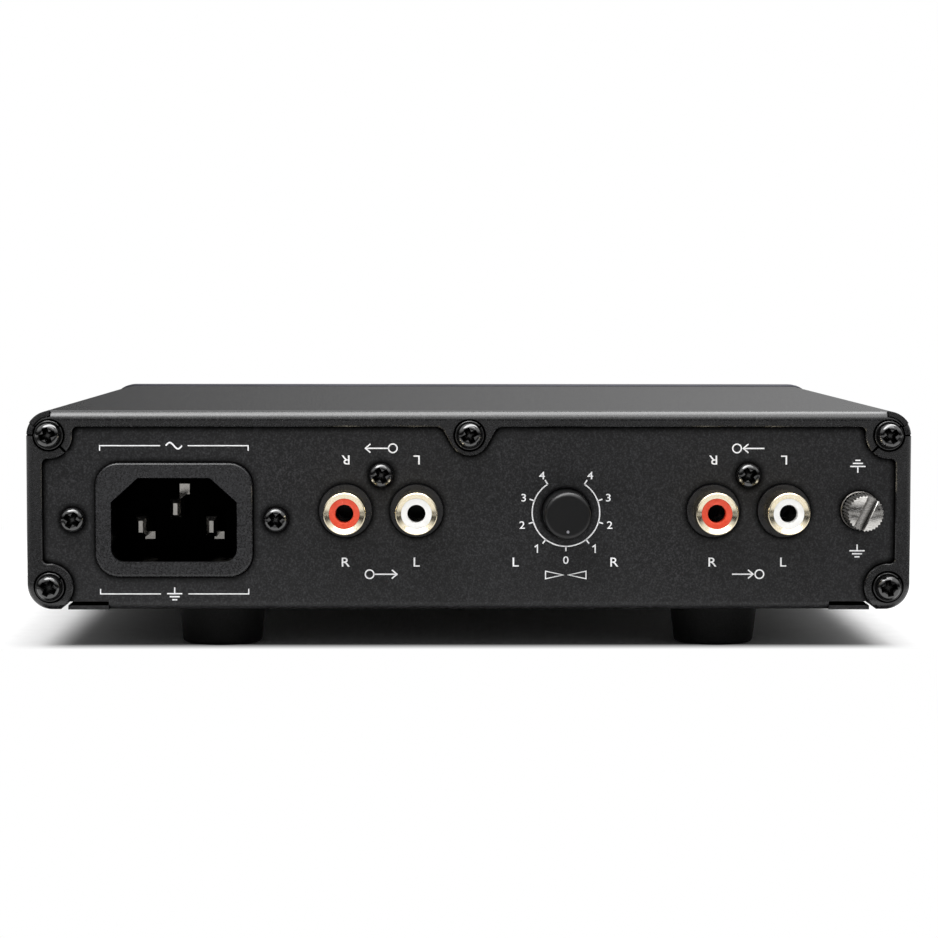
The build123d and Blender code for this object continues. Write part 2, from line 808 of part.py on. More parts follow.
def socket_insulator(x):
    """Coloured plastic sleeve that fills the barrel and leaves a hole for the plug's pin."""
    radius = shell_diameter / 2 - shell_wall - insulator_play
    sleeve = rod_y(x, socket_z, radius, -shell_reach + insulator_recess, shell_seat)
    sleeve -= rod_y(x, socket_z, insulator_bore / 2, -shell_reach, shell_seat)
    sleeve = fillet(sleeve.edges().group_by(Axis.Y)[0], insulator_edge)
    contact_front = -shell_reach + contact_recess
    pocket = insulator_bore / 2 + contact_wall + insulator_play
    return sleeve - rod_y(x, socket_z, pocket, contact_front, shell_seat)


def socket_contact(x):
    """Spring sleeve inside the insulator that grips the plug's pin."""
    low = -shell_reach + contact_recess + insulator_play
    high = low + contact_length
    outer = rod_y(x, socket_z, insulator_bore / 2 + contact_wall, low, high)
    return outer - rod_y(x, socket_z, insulator_bore / 2, low, high)


# ---------------------------------------------------------------- balance control
pot_front = knob_set_back + pot_gap
pot_rear = pot_front + pot_depth


def balance_pot_body():
    """Board-mounted control with a metal face plate and a plastic case."""
    case = block(span(balance_x, pot_width), (pot_front, pot_rear), (board_top, pot_top))
    top_edges = case.edges().filter_by(Axis.Y).group_by(Axis.Z)[-1]
    case = chamfer(top_edges, pot_top_bevel)
    pivot_radius = shaft_diameter / 2 + shaft_play
    return case - rod_y(balance_x, balance_z, pivot_radius, pot_front, pot_rear - pot_end_wall)


def balance_pot_shaft():
    """Plastic shaft with a flat for the knob."""
    shaft = rod_y(balance_x, balance_z, shaft_diameter / 2, -shaft_engagement,
                  pot_rear - pot_end_wall - shaft_play)
    flat_z = balance_z + shaft_diameter / 2 - shaft_flat_depth
    flat = block(span(balance_x, shaft_diameter), (-shaft_engagement, knob_set_back),
                 (flat_z, flat_z + shaft_diameter))
    return shaft - flat


def balance_knob():
    """Slim cap with a rounded front edge and one pointer dot, low when the knob is central."""
    knob = rod_y(balance_x, balance_z, knob_diameter / 2, -knob_reach, knob_set_back)
    knob = fillet(knob.edges().group_by(Axis.Y)[0], knob_edge_radius)
    bore = rod_y(balance_x, balance_z, shaft_diameter / 2, -shaft_engagement, knob_set_back)
    flat_z = balance_z + shaft_diameter / 2 - shaft_flat_depth
    key = block(span(balance_x, shaft_diameter), (-shaft_engagement, knob_set_back),
                (flat_z, flat_z + shaft_diameter))
    knob -= bore - key
    dot = rod_y(balance_x, balance_z - knob_dot_drop, knob_dot_diameter / 2, -knob_reach,
                -knob_reach + knob_dot_depth)
    return knob - dot


# ---------------------------------------------------------------- ground terminal
thread_hole_radius = ground_thread / 2 + ground_thread_play


def ground_screw():
    """Knurled thumb screw with a broad slot across its head."""
    radius = ground_head_diameter / 2
    step = math.pi / ground_knurls
    points = []
    for tooth in range(2 * ground_knurls):
        reach = radius - (knurl_depth if tooth % 2 else 0.0)
        points.append((reach * math.cos(tooth * step), reach * math.sin(tooth * step)))
    knurled = plate_y(Polygon(*points, align=None), -ground_reach, -washer_thickness)
    blank = rod_y(0, 0, radius, -ground_reach, -washer_thickness)
    blank = chamfer(blank.edges().group_by(Axis.Y)[-1], ground_head_chamfer)
    blank &= Pos(0, ground_face_radius - ground_reach, 0) * Sphere(ground_face_radius)
    blank -= block(span(0, ground_slot_width), (-ground_reach, -ground_reach + ground_slot_depth),
                   span(0, 2 * ground_head_diameter))
    mouth = [edge for edge in blank.edges().filter_by(GeomType.CIRCLE)
             if abs(abs(edge.center().X) - ground_slot_width / 2) < 0.01 and edge.length > radius]
    head = chamfer(mouth, ground_slot_edge) & knurled
    head = Rot(0, ground_slot_lean, 0) * head
    thread = rod_y(0, 0, ground_thread / 2, -washer_thickness, ground_thread_length)
    return Pos(ground_x, 0, ground_z) * (head + thread)


def ground_washer():
    """Captive washer that clamps the earth lead's tag."""
    washer = rod_y(ground_x, ground_z, washer_diameter / 2, -washer_thickness, 0)
    washer = chamfer(washer.edges().group_by(Axis.Y)[0], washer_edge)
    return washer - rod_y(ground_x, ground_z, thread_hole_radius, -washer_thickness, 0)


def ground_nut():
    """Clinch nut pressed into the panel."""
    bore_end = panel_inner + clinch_nut_length
    nut = rod_y(ground_x, ground_z, clinch_nut_diameter / 2, panel_inner, bore_end)
    nut = chamfer(nut.edges().group_by(Axis.Y)[-1], ground_head_chamfer)
    nut += rod_y(ground_x, ground_z, clinch_spigot_diameter / 2, 0, panel_inner)
    return nut - rod_y(ground_x, ground_z, thread_hole_radius, 0, bore_end)


# ---------------------------------------------------------------- power button and indicator
switch_front = supply_board_front
switch_rear = switch_front - switch_length
plunger_rear = switch_front - plunger_overlap
collar_front = chassis_front - button_stop_gap
collar_rear = collar_front - button_collar_thickness


def power_button():
    """Round push button with a shallow dish, and a collar that stops it inside the fascia."""
    tip = fascia_front + button_reach
    cap = rod_y(button_x, button_z, button_diameter / 2, collar_rear, tip)
    cap = fillet(cap.edges().group_by(Axis.Y)[-1], button_edge_radius)
    cap += rod_y(button_x, button_z, button_collar_diameter / 2, collar_rear, collar_front)
    dish = Sphere(button_dish_radius)
    cap -= Pos(button_x, tip + button_dish_radius - button_dish_depth, button_z) * dish
    return cap


def power_switch_plunger():
    """Square rod from the switch to the back of the button."""
    side = span(button_x, plunger_side)
    return block(side, (plunger_rear, collar_rear), span(button_z, plunger_side))


def power_switch_body():
    """Mains switch on the front edge of the supply board."""
    heights = (board_top, board_top + switch_height)
    body = block(span(button_x, switch_width), (switch_rear, switch_front), heights)
    body = fillet(body.edges().filter_by(Axis.Y).group_by(Axis.Z)[-1], moulded_edge_radius)
    opening = plunger_side + 2 * plunger_play
    reach = plunger_rear - switch_stroke - plunger_end_play
    return body - block(span(button_x, opening), (reach, switch_front), span(button_z, opening))


light_pipe_rear = chassis_front - chassis_sheet - light_pipe_tail


def status_light_pipe():
    """Clear rod that carries the light to the fascia."""
    rod = rod_y(light_x, button_z, light_pipe_diameter / 2, light_pipe_rear, fascia_front)
    return chamfer(rod.edges().group_by(Axis.Y)[-1], light_pipe_edge)


def status_led():
    """Domed indicator lamp behind the light pipe, on bent leads."""
    tip = light_pipe_rear - light_pipe_play
    base = tip - led_length
    lamp = rod_y(light_x, button_z, led_diameter / 2, base, tip)
    lamp = fillet(lamp.edges().group_by(Axis.Y)[-1], led_dome_radius)
    lamp += rod_y(light_x, button_z, led_flange / 2, base, base + led_flange_thickness)
    bend_y = base - led_lead_reach
    for side in (-1, 1):
        x = light_x + side * led_lead_pitch / 2
        lamp += block(span(x, led_lead), (bend_y, base), span(button_z, led_lead))
        lamp += block(span(x, led_lead), (bend_y - led_lead, bend_y), (board_top, button_z + led_lead / 2))
    return lamp


# ---------------------------------------------------------------- boards and their fixings
def board(left, right, rear, front, holes):
    """Circuit board with a fixing hole near each corner."""
    middle = ((left + right) / 2, (rear + front) / 2)
    outline = rounded(right - left, front - rear, board_edge_gap, *middle)
    plate = plate_z(outline, board_underside, board_top)
    for x, y in holes:
        plate -= rod_z(x, y, through_radius, board_underside, board_top)
    return plate


def supply_board():
    """Mains board, with slots for the inlet's legs."""
    plate = board(-board_limit, supply_board_right, supply_board_rear, supply_board_front, supply_holes)
    leg_y = inlet_rear + pin_tail
    slot = pin_leg + 2 * pin_play
    thickness = (board_underside, board_top)
    for x, z, reach in inlet_pin_places():
        plate -= block(span(inlet_x + x, slot), span(leg_y - pin_leg / 2, slot), thickness)
    return plate


def standoff(x, y):
    """Threaded pillar pressed into the base."""
    pillar = rod_z(x, y, standoff_diameter / 2, chassis_sheet, board_underside)
    return pillar - rod_z(x, y, tapped_radius, chassis_sheet, board_underside)


def board_screw(x, y, turn):
    """Screw down through a board into its pillar."""
    return Pos(x, y, board_top) * pan_screw(board_screw_length, turn)


# ---------------------------------------------------------------- parts on the boards
def chip(x, y):
    """Eight-legged amplifier chip."""
    low = board_top + chip_stand
    body = block(span(x, chip_width), span(y, chip_length), (low, low + chip_height))
    body = chamfer(body.edges().filter_by(Axis.Y), chip_bevel)
    leg_heights = (board_top, low + chip_height / 2)
    for row in range(4):
        leg_y = y + (row - 1.5) * chip_pitch
        for side in (-1, 1):
            leg_x = x + side * (chip_width / 2 + chip_leg / 2)
            body += block(span(leg_x, chip_leg), span(leg_y, chip_leg), leg_heights)
    return body


def can(x, y, diameter, height, groove_rise):
    """Electrolytic capacitor standing on a board, with its rolled groove."""
    body = rod_z(x, y, diameter / 2, board_top, board_top + height)
    body = chamfer(body.edges().group_by(Axis.Z)[-1], can_groove)
    groove_z = board_top + groove_rise
    ring = rod_z(x, y, diameter / 2, groove_z, groove_z + can_groove_height)
    ring -= rod_z(x, y, diameter / 2 - can_groove, groove_z, groove_z + can_groove_height)
    return body - ring


def film(x, y):
    """Boxed film capacitor."""
    body = block(span(x, film_width), span(y, film_length), (board_top, board_top + film_height))
    return fillet(body.edges().filter_by(Axis.Z), moulded_edge_radius)


def relay(x, y):
    """Muting relay at the output."""
    body = block(span(x, relay_width), span(y, relay_length), (board_top, board_top + relay_height))
    return fillet(body.edges().group_by(Axis.Z)[-1], moulded_edge_radius)


def beside(middle, place):
    """A place on a board, given across from the middle of the connector it serves."""
    return (middle + place[0], place[1])


def row_places(start, count, pitch):
    """Even steps along a row."""
    return [start + index * pitch for index in range(count)]


coil_bottom = board_top + bobbin_wall
transformer_x, transformer_y = beside(inlet_x, transformer_place)


def transformer_core():
    """Ferrite core: three legs between two yokes, upright on the bobbin's foot."""
    outline = Rectangle(core_length, core_height)
    window = Rectangle(core_window, core_height - 2 * core_yoke)
    for side in (-1, 1):
        outline -= Pos(side * (core_centre_leg + core_window) / 2, 0) * window
    body = plate_y(outline, -core_depth / 2, core_depth / 2)
    return Pos(transformer_x, transformer_y, coil_bottom + core_height / 2) * body


def transformer_winding():
    """Bobbin and windings round the centre leg, on a flanged foot."""
    low = coil_bottom + core_yoke + winding_play
    high = coil_bottom + core_height - core_yoke - winding_play
    width = core_centre_leg + 2 * core_window - 2 * winding_play
    hole = Rectangle(core_centre_leg + 2 * winding_play, core_depth + 2 * winding_play)
    coil = RectangleRounded(width, winding_diameter, winding_radius) - hole
    body = plate_z(Pos(transformer_x, transformer_y) * coil, low, high)
    foot = block(span(transformer_x, core_length), span(transformer_y, bobbin_foot_length),
                 (board_top, coil_bottom))
    cheek_near = core_depth / 2 + winding_play
    cheek_far = winding_diameter / 2 + bobbin_wall
    for side in (-1, 1):
        y_low, y_high = sorted((transformer_y + side * cheek_near, transformer_y + side * cheek_far))
        foot += block(span(transformer_x, width), (y_low, y_high), (board_top, low))
    return body + foot


def mains_choke(x, y):
    """Ring choke wound on a toroid that stands on its edge base."""
    ring = plate_z(Pos(x, y) * (Circle(choke_outer / 2) - Circle(choke_inner / 2)),
                   board_top + choke_stand, board_top + choke_stand + choke_height)
    ring = fillet(ring.edges().group_by(Axis.Z)[-1], choke_stand)
    base = block(span(x, choke_outer), span(y, choke_outer), (board_top, board_top + choke_stand))
    return ring + base


def fuse(x, y):
    """Glass cartridge fuse with plated end caps."""
    z = board_top + fuse_axis_height
    tube = rod_y(x, z, fuse_tube_diameter / 2, y, y + fuse_length)
    for low in (y, y + fuse_length - fuse_cap_length):
        tube += rod_y(x, z, fuse_diameter / 2, low, low + fuse_cap_length)
    return tube


def fuse_clip(x, y):
    """Sprung clip that holds one end of the fuse."""
    z = board_top + fuse_axis_height
    inner = fuse_diameter / 2 + clip_play
    outer = inner + clip_sheet
    ring = Pos(x, z) * (Circle(outer) - Circle(inner))
    ring -= Pos(x, z + inner) * Rectangle(clip_mouth, 2 * inner)
    stem_low = Pos(x, board_top) * Rectangle(2 * inner, clip_sheet, align=(Align.CENTER, Align.MIN))
    stem = Pos(x, board_top) * Rectangle(clip_stem_width, fuse_axis_height - inner - clip_sheet / 2,
                                         align=(Align.CENTER, Align.MIN))
    return plate_y(ring + stem_low + stem, y, y + clip_width)


def heatsink(x, y):
    """Finned aluminium plate for the regulators."""
    heights = (board_top, board_top + heatsink_height)
    base = block((x, x + heatsink_base), span(y, heatsink_length), heights)
    pitch = (heatsink_length - fin_thickness) / (heatsink_fins - 1)
    for index in range(heatsink_fins):
        fin_y = y - heatsink_length / 2 + index * pitch
        fin_x = (x + heatsink_base, x + heatsink_base + fin_depth)
        base += block(fin_x, (fin_y, fin_y + fin_thickness), heights)
    return base


def regulator(x, y):
    """Regulator standing against the heatsink."""
    heights = (board_top, board_top + regulator_height)
    body = block((x - regulator_thickness, x), span(y, regulator_width), heights)
    return chamfer(body.edges().filter_by(Axis.Z).group_by(Axis.X)[0], moulded_edge_radius)


supply_header_x = supply_board_right - header_width
main_header_x = main_board_left + header_width


def header(x):
    """Shrouded board header that the link plugs into."""
    top = board_top + header_height
    body = block(span(x, header_width), span(link_y, header_length), (board_top, top))
    room = block(span(x, link_thickness + 2 * link_play), span(link_y, link_width + 2 * link_play),
                 (top - header_socket_depth, top))
    return body - room


def board_link():
    """Flat flexible link that takes the supply to the main board."""
    low = board_top + header_height - header_socket_depth
    high = board_top + header_height + link_rise
    left = supply_header_x
    right = main_header_x
    half = link_thickness / 2
    middle = Pos((left + right) / 2, (low + high) / 2)
    outer = middle * Rectangle(right - left + link_thickness, high - low)
    outer = fillet(outer.vertices().group_by(Axis.Y)[-1], link_radius + half)
    inside = Rectangle(right - left - link_thickness, high - low)
    inner = Pos((left + right) / 2, (low + high) / 2 - link_thickness) * inside
    inner = fillet(inner.vertices().group_by(Axis.Y)[-1], link_radius - half)
    return plate_y(outer - inner, link_y - link_width / 2, link_y + link_width / 2)


# ---------------------------------------------------------------- the list of nodes
cover_screw_turns = (18.0, 34.0, 62.0, 12.0, 25.0)
inlet_screw_turns = (59.0, 39.0)
socket_screw_turn = 30.0
foot_screw_turns = (50.0, 20.0, 75.0, 35.0)

keep("top_cover", top_cover())
keep("chassis", chassis())
keep("front_fascia", front_fascia())
keep("cover_screws", *[towards_rear(x, cover_rear + dimple_depth, z, lock_screw(cover_screw_length, turn))
                       for (x, z), turn in zip(cover_screw_places(), cover_screw_turns)])
keep("fascia_screws", *[Pos(x, chassis_front - chassis_sheet, z) * Rot(90, 0, 0)
                        * pan_screw(fascia_screw_length, 0) for x, z in fascia_screw_places()])
for name, x, y in foot_places():
    keep(name, foot(x, y))
keep("foot_screws", *[foot_screw(x, y, turn)
                      for (name, x, y), turn in zip(foot_places(), foot_screw_turns)])

keep("inlet_housing", inlet_housing())
pin_names = ("inlet_live_pin", "inlet_neutral_pin", "inlet_earth_pin")
for name, (x, z, reach) in zip(pin_names, inlet_pin_places()):
    keep(name, inlet_pin(x, z, reach, earth_lead if name == "inlet_earth_pin" else 0.0))
inlet_screw_places = [(inlet_x + side * inlet_screw_pitch / 2, inlet_z) for side in (-1, 1)]
keep("inlet_screws", *[towards_rear(x, 0, z, pan_screw(inlet_screw_length, turn))
                       for (x, z), turn in zip(inlet_screw_places, inlet_screw_turns)])
keep("inlet_nuts", *[hex_nut_y(x, panel_inner + flange_thickness, z) for x, z in inlet_screw_places])

keep("output_socket_block", socket_block(output_x))
keep("input_socket_block", socket_block(input_x))
for pair, channel, x in socket_centres():
    keep(f"{pair}_{channel}_shell", socket_shell(x))
    keep(f"{pair}_{channel}_insulator", socket_insulator(x))
    keep(f"{pair}_{channel}_contact", socket_contact(x))
keep("socket_screws", *[towards_rear(x, 0, socket_z + socket_screw_rise,
                                     pan_screw(socket_screw_length, socket_screw_turn))
                        for x in (output_x, input_x)])

keep("balance_pot_body", balance_pot_body())
keep("balance_pot_shaft", balance_pot_shaft())
keep("balance_knob", balance_knob())

keep("ground_screw", ground_screw())
keep("ground_washer", ground_washer())
keep("ground_nut", ground_nut())

keep("power_button", power_button())
keep("power_switch_plunger", power_switch_plunger())
keep("power_switch_body", power_switch_body())
keep("status_light_pipe", status_light_pipe())
keep("status_led", status_led())

keep("main_board", board(main_board_left, board_limit, main_board_rear, main_board_front, main_holes))
keep("supply_board", supply_board())
keep("board_standoffs", *[standoff(x, y) for x, y in main_holes + supply_holes])
keep("board_screws", *[board_screw(x, y, x + y) for x, y in main_holes + supply_holes])

chips = [chip(*beside(input_x, place)) for place in input_chip_places]
keep("amplifier_chips", *chips, chip(*beside(output_x, output_chip_place)))
can_places = row_places(balance_x + can_row_start, can_count, can_pitch)
keep("electrolytic_capacitors", *[can(x, can_row_y, can_diameter, can_height, can_groove_rise)
                                  for x in can_places])
film_places = row_places(balance_x + film_row_start, film_columns, film_pitch)
film_row_places = row_places(film_row_y, film_rows, film_row_pitch)
keep("film_capacitors", *[film(x, y) for y in film_row_places for x in film_places])
keep("output_relay", relay(*beside(output_x, relay_place)))
keep("transformer_core", transformer_core())
keep("transformer_winding", transformer_winding())
keep("bulk_capacitor", can(*beside(inlet_x, bulk_place), bulk_diameter, bulk_height, bulk_groove_rise))
keep("mains_choke", mains_choke(*beside(inlet_x, choke_place)))
fuse_x, fuse_rear = beside(inlet_x, fuse_place)
clip_inset = (fuse_cap_length - clip_width) / 2
keep("mains_fuse", fuse(fuse_x, fuse_rear))
keep("fuse_clips", *[fuse_clip(fuse_x, fuse_rear + clip_inset + step)
                     for step in (0, fuse_length - fuse_cap_length)])
heatsink_x, heatsink_y = beside(inlet_x, heatsink_place)
keep("heatsink", heatsink(heatsink_x, heatsink_y))
keep("voltage_regulators", *[regulator(heatsink_x, heatsink_y + side * regulator_pitch / 2)
                             for side in (-1, 1)])
keep("link_headers", *[header(x) for x in (supply_header_x, main_header_x)])
keep("board_link", board_link())

# ---------------------------------------------------------------- write one file for each node
os.makedirs("parts", exist_ok=True)
into_part_frame = Pos(0, panel_y, foot_height)
for name, solids in nodes.items():
    placed = [into_part_frame * solid for solid in solids]
    export_step(placed[0] if len(placed) == 1 else Compound(children=placed), f"parts/{name}.step")
print(len(nodes), "nodes; connector panel at Y =", round(panel_y, 3), "overall length", overall_length)
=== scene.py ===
# %% [markdown]
# # Dressing a phono preamp
# The solids of the preamp are already built and jointed. This lesson gives them their finishes,
# prints the connector panel, winds the ring choke, and sets up a plain studio. The first step loads
# the imported model as a frame that never moves: every new piece is placed by it, so the looks stay
# true to the solids.

# %% Load the frame
import json
import math
import bmesh
import bpy
from mathutils import Matrix, Vector


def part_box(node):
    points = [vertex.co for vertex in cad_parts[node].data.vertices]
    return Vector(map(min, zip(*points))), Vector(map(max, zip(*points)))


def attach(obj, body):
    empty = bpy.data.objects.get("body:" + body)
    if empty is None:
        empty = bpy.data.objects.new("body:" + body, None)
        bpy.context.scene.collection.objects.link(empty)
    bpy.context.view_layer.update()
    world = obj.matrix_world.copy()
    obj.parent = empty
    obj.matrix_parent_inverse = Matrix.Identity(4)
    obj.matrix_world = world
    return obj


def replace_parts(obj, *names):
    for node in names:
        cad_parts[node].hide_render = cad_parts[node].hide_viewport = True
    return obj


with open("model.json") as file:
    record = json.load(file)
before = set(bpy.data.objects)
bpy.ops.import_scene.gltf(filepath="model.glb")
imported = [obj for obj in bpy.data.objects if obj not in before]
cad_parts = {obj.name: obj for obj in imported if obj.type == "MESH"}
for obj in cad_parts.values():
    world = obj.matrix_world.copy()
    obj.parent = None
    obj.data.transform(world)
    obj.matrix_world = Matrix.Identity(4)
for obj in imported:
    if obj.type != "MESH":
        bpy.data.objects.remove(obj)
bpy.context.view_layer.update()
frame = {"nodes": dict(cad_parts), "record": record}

# %% [markdown]
# ## Where the panel is
# Everything printed on the preamp sits on the outer face of its connector panel. Its place could be
# typed in, but reading it from the chassis and the cover keeps the print on the panel when the
# solids change. Points on the panel are given in millimetres: across from the middle, and up from
# the underside of the case.

# %% Panel places
MM = 0.001
panel_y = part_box("chassis")[0].y
underside_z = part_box("top_cover")[0].z


def on_panel(across, up, proud=0.0):
    """A point on the connector panel, or that far in front of it."""
    return Vector((across * MM, panel_y - proud * MM, underside_z + up * MM))


def across_of(node):
    """How far across the panel the middle of a node is, in millimetres."""
    low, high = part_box(node)
    return (low.x + high.x) / 2 / MM


print("panel at Y", round(panel_y / MM, 2), "mm, underside at Z", round(underside_z / MM, 2), "mm")

# %% [markdown]
# ## Two small tools for finishes
# Colours are picked as sRGB hex values, the way a paint sample is read on a screen, and one
# function turns them into the linear values that shaders work with. One more function adds a node
# with its settings and links, so that a finish reads as a short list.

# %% Colour and node helpers


def linear(colour):
    """Linear RGBA of an sRGB hex colour."""
    parts = [int(colour[i:i + 2], 16) / 255 for i in (1, 3, 5)]
    return tuple(c / 12.92 if c <= 0.04045 else ((c + 0.055) / 1.055) ** 2.4
                 for c in parts) + (1.0,)


def add(tree, kind, inputs=None, output=0, **settings):
    """Adds a node with its settings. Each input is a value, or a socket to link from. Gives back
    the output asked for, or the node itself for None."""
    node = tree.nodes.new(kind)
    for name, value in settings.items():
        setattr(node, name, value)
    for name, value in (inputs or {}).items():
        if isinstance(value, bpy.types.NodeSocket):
            tree.links.new(value, node.inputs[name])
        else:
            node.inputs[name].default_value = value
    return node.outputs[output] if output is not None and node.outputs else node


print("sRGB #161617 in linear light:", [round(c, 4) for c in linear("#161617")[:3]])

# %% [markdown]
# ## Starting a finish
# Each finish is one Principled shader. Its even values, such as the metal or the index of
# refraction, sit on the shader's own sockets. Its pattern reads Object coordinates, because they
# stay with the piece when it moves, and they are turned into millimetres first, so that a pattern's
# size can be a real one.

# %% Start a finish
finishes = {}


def start_finish(name, colour, roughness, metallic=0.0, more=None):
    """A material with its shader set. Returns it with its tree, shader and coordinates in mm."""
    material = bpy.data.materials.new(name)
    material.use_nodes = True
    tree = material.node_tree
    shader = tree.nodes["Principled BSDF"]
    even = {"Base Color": linear(colour), "Roughness": roughness, "Metallic": metallic}
    for socket, value in {**even, **(more or {})}.items():
        shader.inputs[socket].default_value = value
    place = add(tree, "ShaderNodeTexCoord", output="Object")
    in_mm = add(tree, "ShaderNodeVectorMath", {0: place, "Scale": 1 / MM}, operation="SCALE")
    print("finish:", name)
    return material, tree, shader, in_mm


def grain(tree, shader, in_mm, size, depth=0.0, tones=None, gloss=None, stretch=(1.0, 1.0, 1.0),
          stops=(0.35, 0.7)):
    """Grain of a real size: a bump of that depth in mm, two tones, and a range of roughness."""
    spread = add(tree, "ShaderNodeMapping", {"Vector": in_mm, "Scale": stretch})
    speck = add(tree, "ShaderNodeTexNoise", {
        "Vector": spread, "Scale": 1 / size, "Detail": 3.0, "Roughness": 0.6}, output="Fac")
    if depth:
        bump = add(tree, "ShaderNodeBump", {"Height": speck, "Distance": depth * MM})
        tree.links.new(bump, shader.inputs["Normal"])
    if tones:
        ramp = add(tree, "ShaderNodeValToRGB", {"Fac": speck}, output=None)
        for stop, place, tone in zip(ramp.color_ramp.elements, stops, tones):
            stop.position = place
            stop.color = linear(tone)
        tree.links.new(ramp.outputs["Color"], shader.inputs["Base Color"])
    if gloss:
        uneven = add(tree, "ShaderNodeMapRange", {
            "Value": speck, "From Min": 0.3, "From Max": 0.7, "To Min": gloss[0],
            "To Max": gloss[1]})
        tree.links.new(uneven, shader.inputs["Roughness"])


# %% [markdown]
# ## Painted shade in crevices
# Light hardly reaches the bottom of a seam, so its shade is painted into the finish. The Ambient
# Occlusion node measures how closed in each point is within a given reach. Where it is closed in,
# the colour is faded to near black, the gloss to dull, and the finish to metal, because black metal
# mirrors nothing, so reflections are painted out too. That paints a fine dark line of shade round
# each part that is set against another.

# %% Painted crevice shade
# Painted shade: near black, dull and metal where a surface is closed in
PAINTED_SHADE = {"Base Color": linear("#020202"), "Roughness": 0.8, "Metallic": 1.0}
CLOSED, OPEN = 0.62, 0.98


def painted_crevice_shade(tree, shader, reach):
    """Paints shade into a finish: darkens and dulls it where other surfaces close it in within that
    reach in mm.
    """
    shut = add(tree, "ShaderNodeAmbientOcclusion", {"Distance": reach * MM}, samples=6, output="AO")
    open_air = add(tree, "ShaderNodeMapRange", {
        "Value": shut, "From Min": CLOSED, "From Max": OPEN})
    for name, value in PAINTED_SHADE.items():
        socket = shader.inputs[name]
        before = socket.links[0].from_socket if socket.is_linked else socket.default_value
        if before == value:
            continue
        if name == "Base Color":
            mixed = add(tree, "ShaderNodeMix", {
                0: open_air, 6: value, 7: before}, data_type="RGBA", output=2)
        else:
            mixed = add(tree, "ShaderNodeMix", {0: open_air, 2: value, 3: before})
        tree.links.new(mixed, socket)


def grained(name, colour, roughness, metallic=0.0, more=None, shade_reach=0.0, **pattern):
    """A finish that is its shader and its grain, with painted crevice shade if shade_reach gives
    its reach.
    """
    material, tree, shader, in_mm = start_finish(name, colour, roughness, metallic, more)
    grain(tree, shader, in_mm, **pattern)
    if shade_reach:
        painted_crevice_shade(tree, shader, shade_reach)
    return material


# %% [markdown]
# ## The casing: powder coat on sheet steel
# The cover and the chassis are folded steel with a baked polyester powder coat. The powder melts
# into a fine orange-peel texture with grains about a third of a millimetre across. That gives the
# eye a dark satin with faint paler specks, which brightens only where it is seen at a low angle.
# The chassis, with the connector panel, has the duller coat of the two.

# %% Powder coats
# Both coats get painted shade in their seams, within 1.3 mm, for the dark line under the cover's
# lip
finishes["powder_coat"] = grained(
    "Textured black powder coat", "#161617", 0.26, more={"IOR": 1.62}, shade_reach=1.3, size=0.32,
    depth=0.014, tones=("#0b0b0c", "#2c2c2e"), gloss=(0.2, 0.32), stops=(0.48, 0.78))
chassis_coat = grained(
    "Matt black powder coat", "#1e1e1f", 0.4, more={"IOR": 1.4}, shade_reach=1.3, size=0.32,
    depth=0.012, tones=("#161617", "#3a3a3c"), gloss=(0.32, 0.46), stops=(0.46, 0.78))

# %% [markdown]
# ## The fascia and button: aluminium
# The front plate is an aluminium extrusion, brushed along its length and then anodised black. The
# brush leaves lines a few hundredths of a millimetre apart; they are drawn about five times
# coarser, or they would vanish at this distance. The push button is turned, so its lines run in
# rings about its own middle.

# %% Aluminium
BRUSHING = 0.25
RINGS_PER_MM = 8.0
finishes["fascia_anodised"] = grained(
    "Brushed black anodised aluminium", "#2c2c30", 0.35, 1.0, size=BRUSHING, depth=0.004,
    tones=("#222226", "#3a3a3f"), gloss=(0.28, 0.42), stretch=(0.01, 1.0, 1.0))

material, tree, shader, in_mm = start_finish("Turned aluminium", "#8f9094", 0.3, 1.0)
low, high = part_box("power_button")
middle = (low + high) / 2 / MM
from_middle = add(tree, "ShaderNodeVectorMath", {
    0: in_mm, 1: (middle.x, 0.0, middle.z)}, operation="SUBTRACT")
flat = add(tree, "ShaderNodeVectorMath", {0: from_middle, 1: (1.0, 0.0, 1.0)}, operation="MULTIPLY")
radius = add(tree, "ShaderNodeVectorMath", {0: flat}, operation="LENGTH", output="Value")
rings = add(tree, "ShaderNodeTexNoise", {
    "W": radius, "Scale": RINGS_PER_MM}, noise_dimensions="1D", output="Fac")
bump = add(tree, "ShaderNodeBump", {"Height": rings, "Distance": 0.004 * MM})
tree.links.new(bump, shader.inputs["Normal"])
finishes["button_metal"] = material

finishes["heatsink_aluminium"] = grained(
    "Extruded aluminium", "#b9babc", 0.38, 1.0, size=0.4, depth=0.006, gloss=(0.3, 0.48),
    stretch=(1.0, 1.0, 0.02))
print("brushing drawn", BRUSHING, "mm apart, turning", round(1 / RINGS_PER_MM, 3), "mm apart")

# %% [markdown]
# ## Screws and plated metal
# Black-oxide screws are dipped in oil, so they are nearly as glossy as wet paint: black, with small
# bright glints in the cross recess, which also holds painted shade. Zinc plate is a soft blue-grey
# with cloudy patches. The inlet's pins are bright nickel, a warm grey mirror with fine handling
# marks. The ground screw is turned and then nickel plated, so its face is streaked, with painted
# shade in its slot and knurl. Its washer is a darker, duller copy of the nickel with wide painted
# shade: a painted shadow of the screw's head.

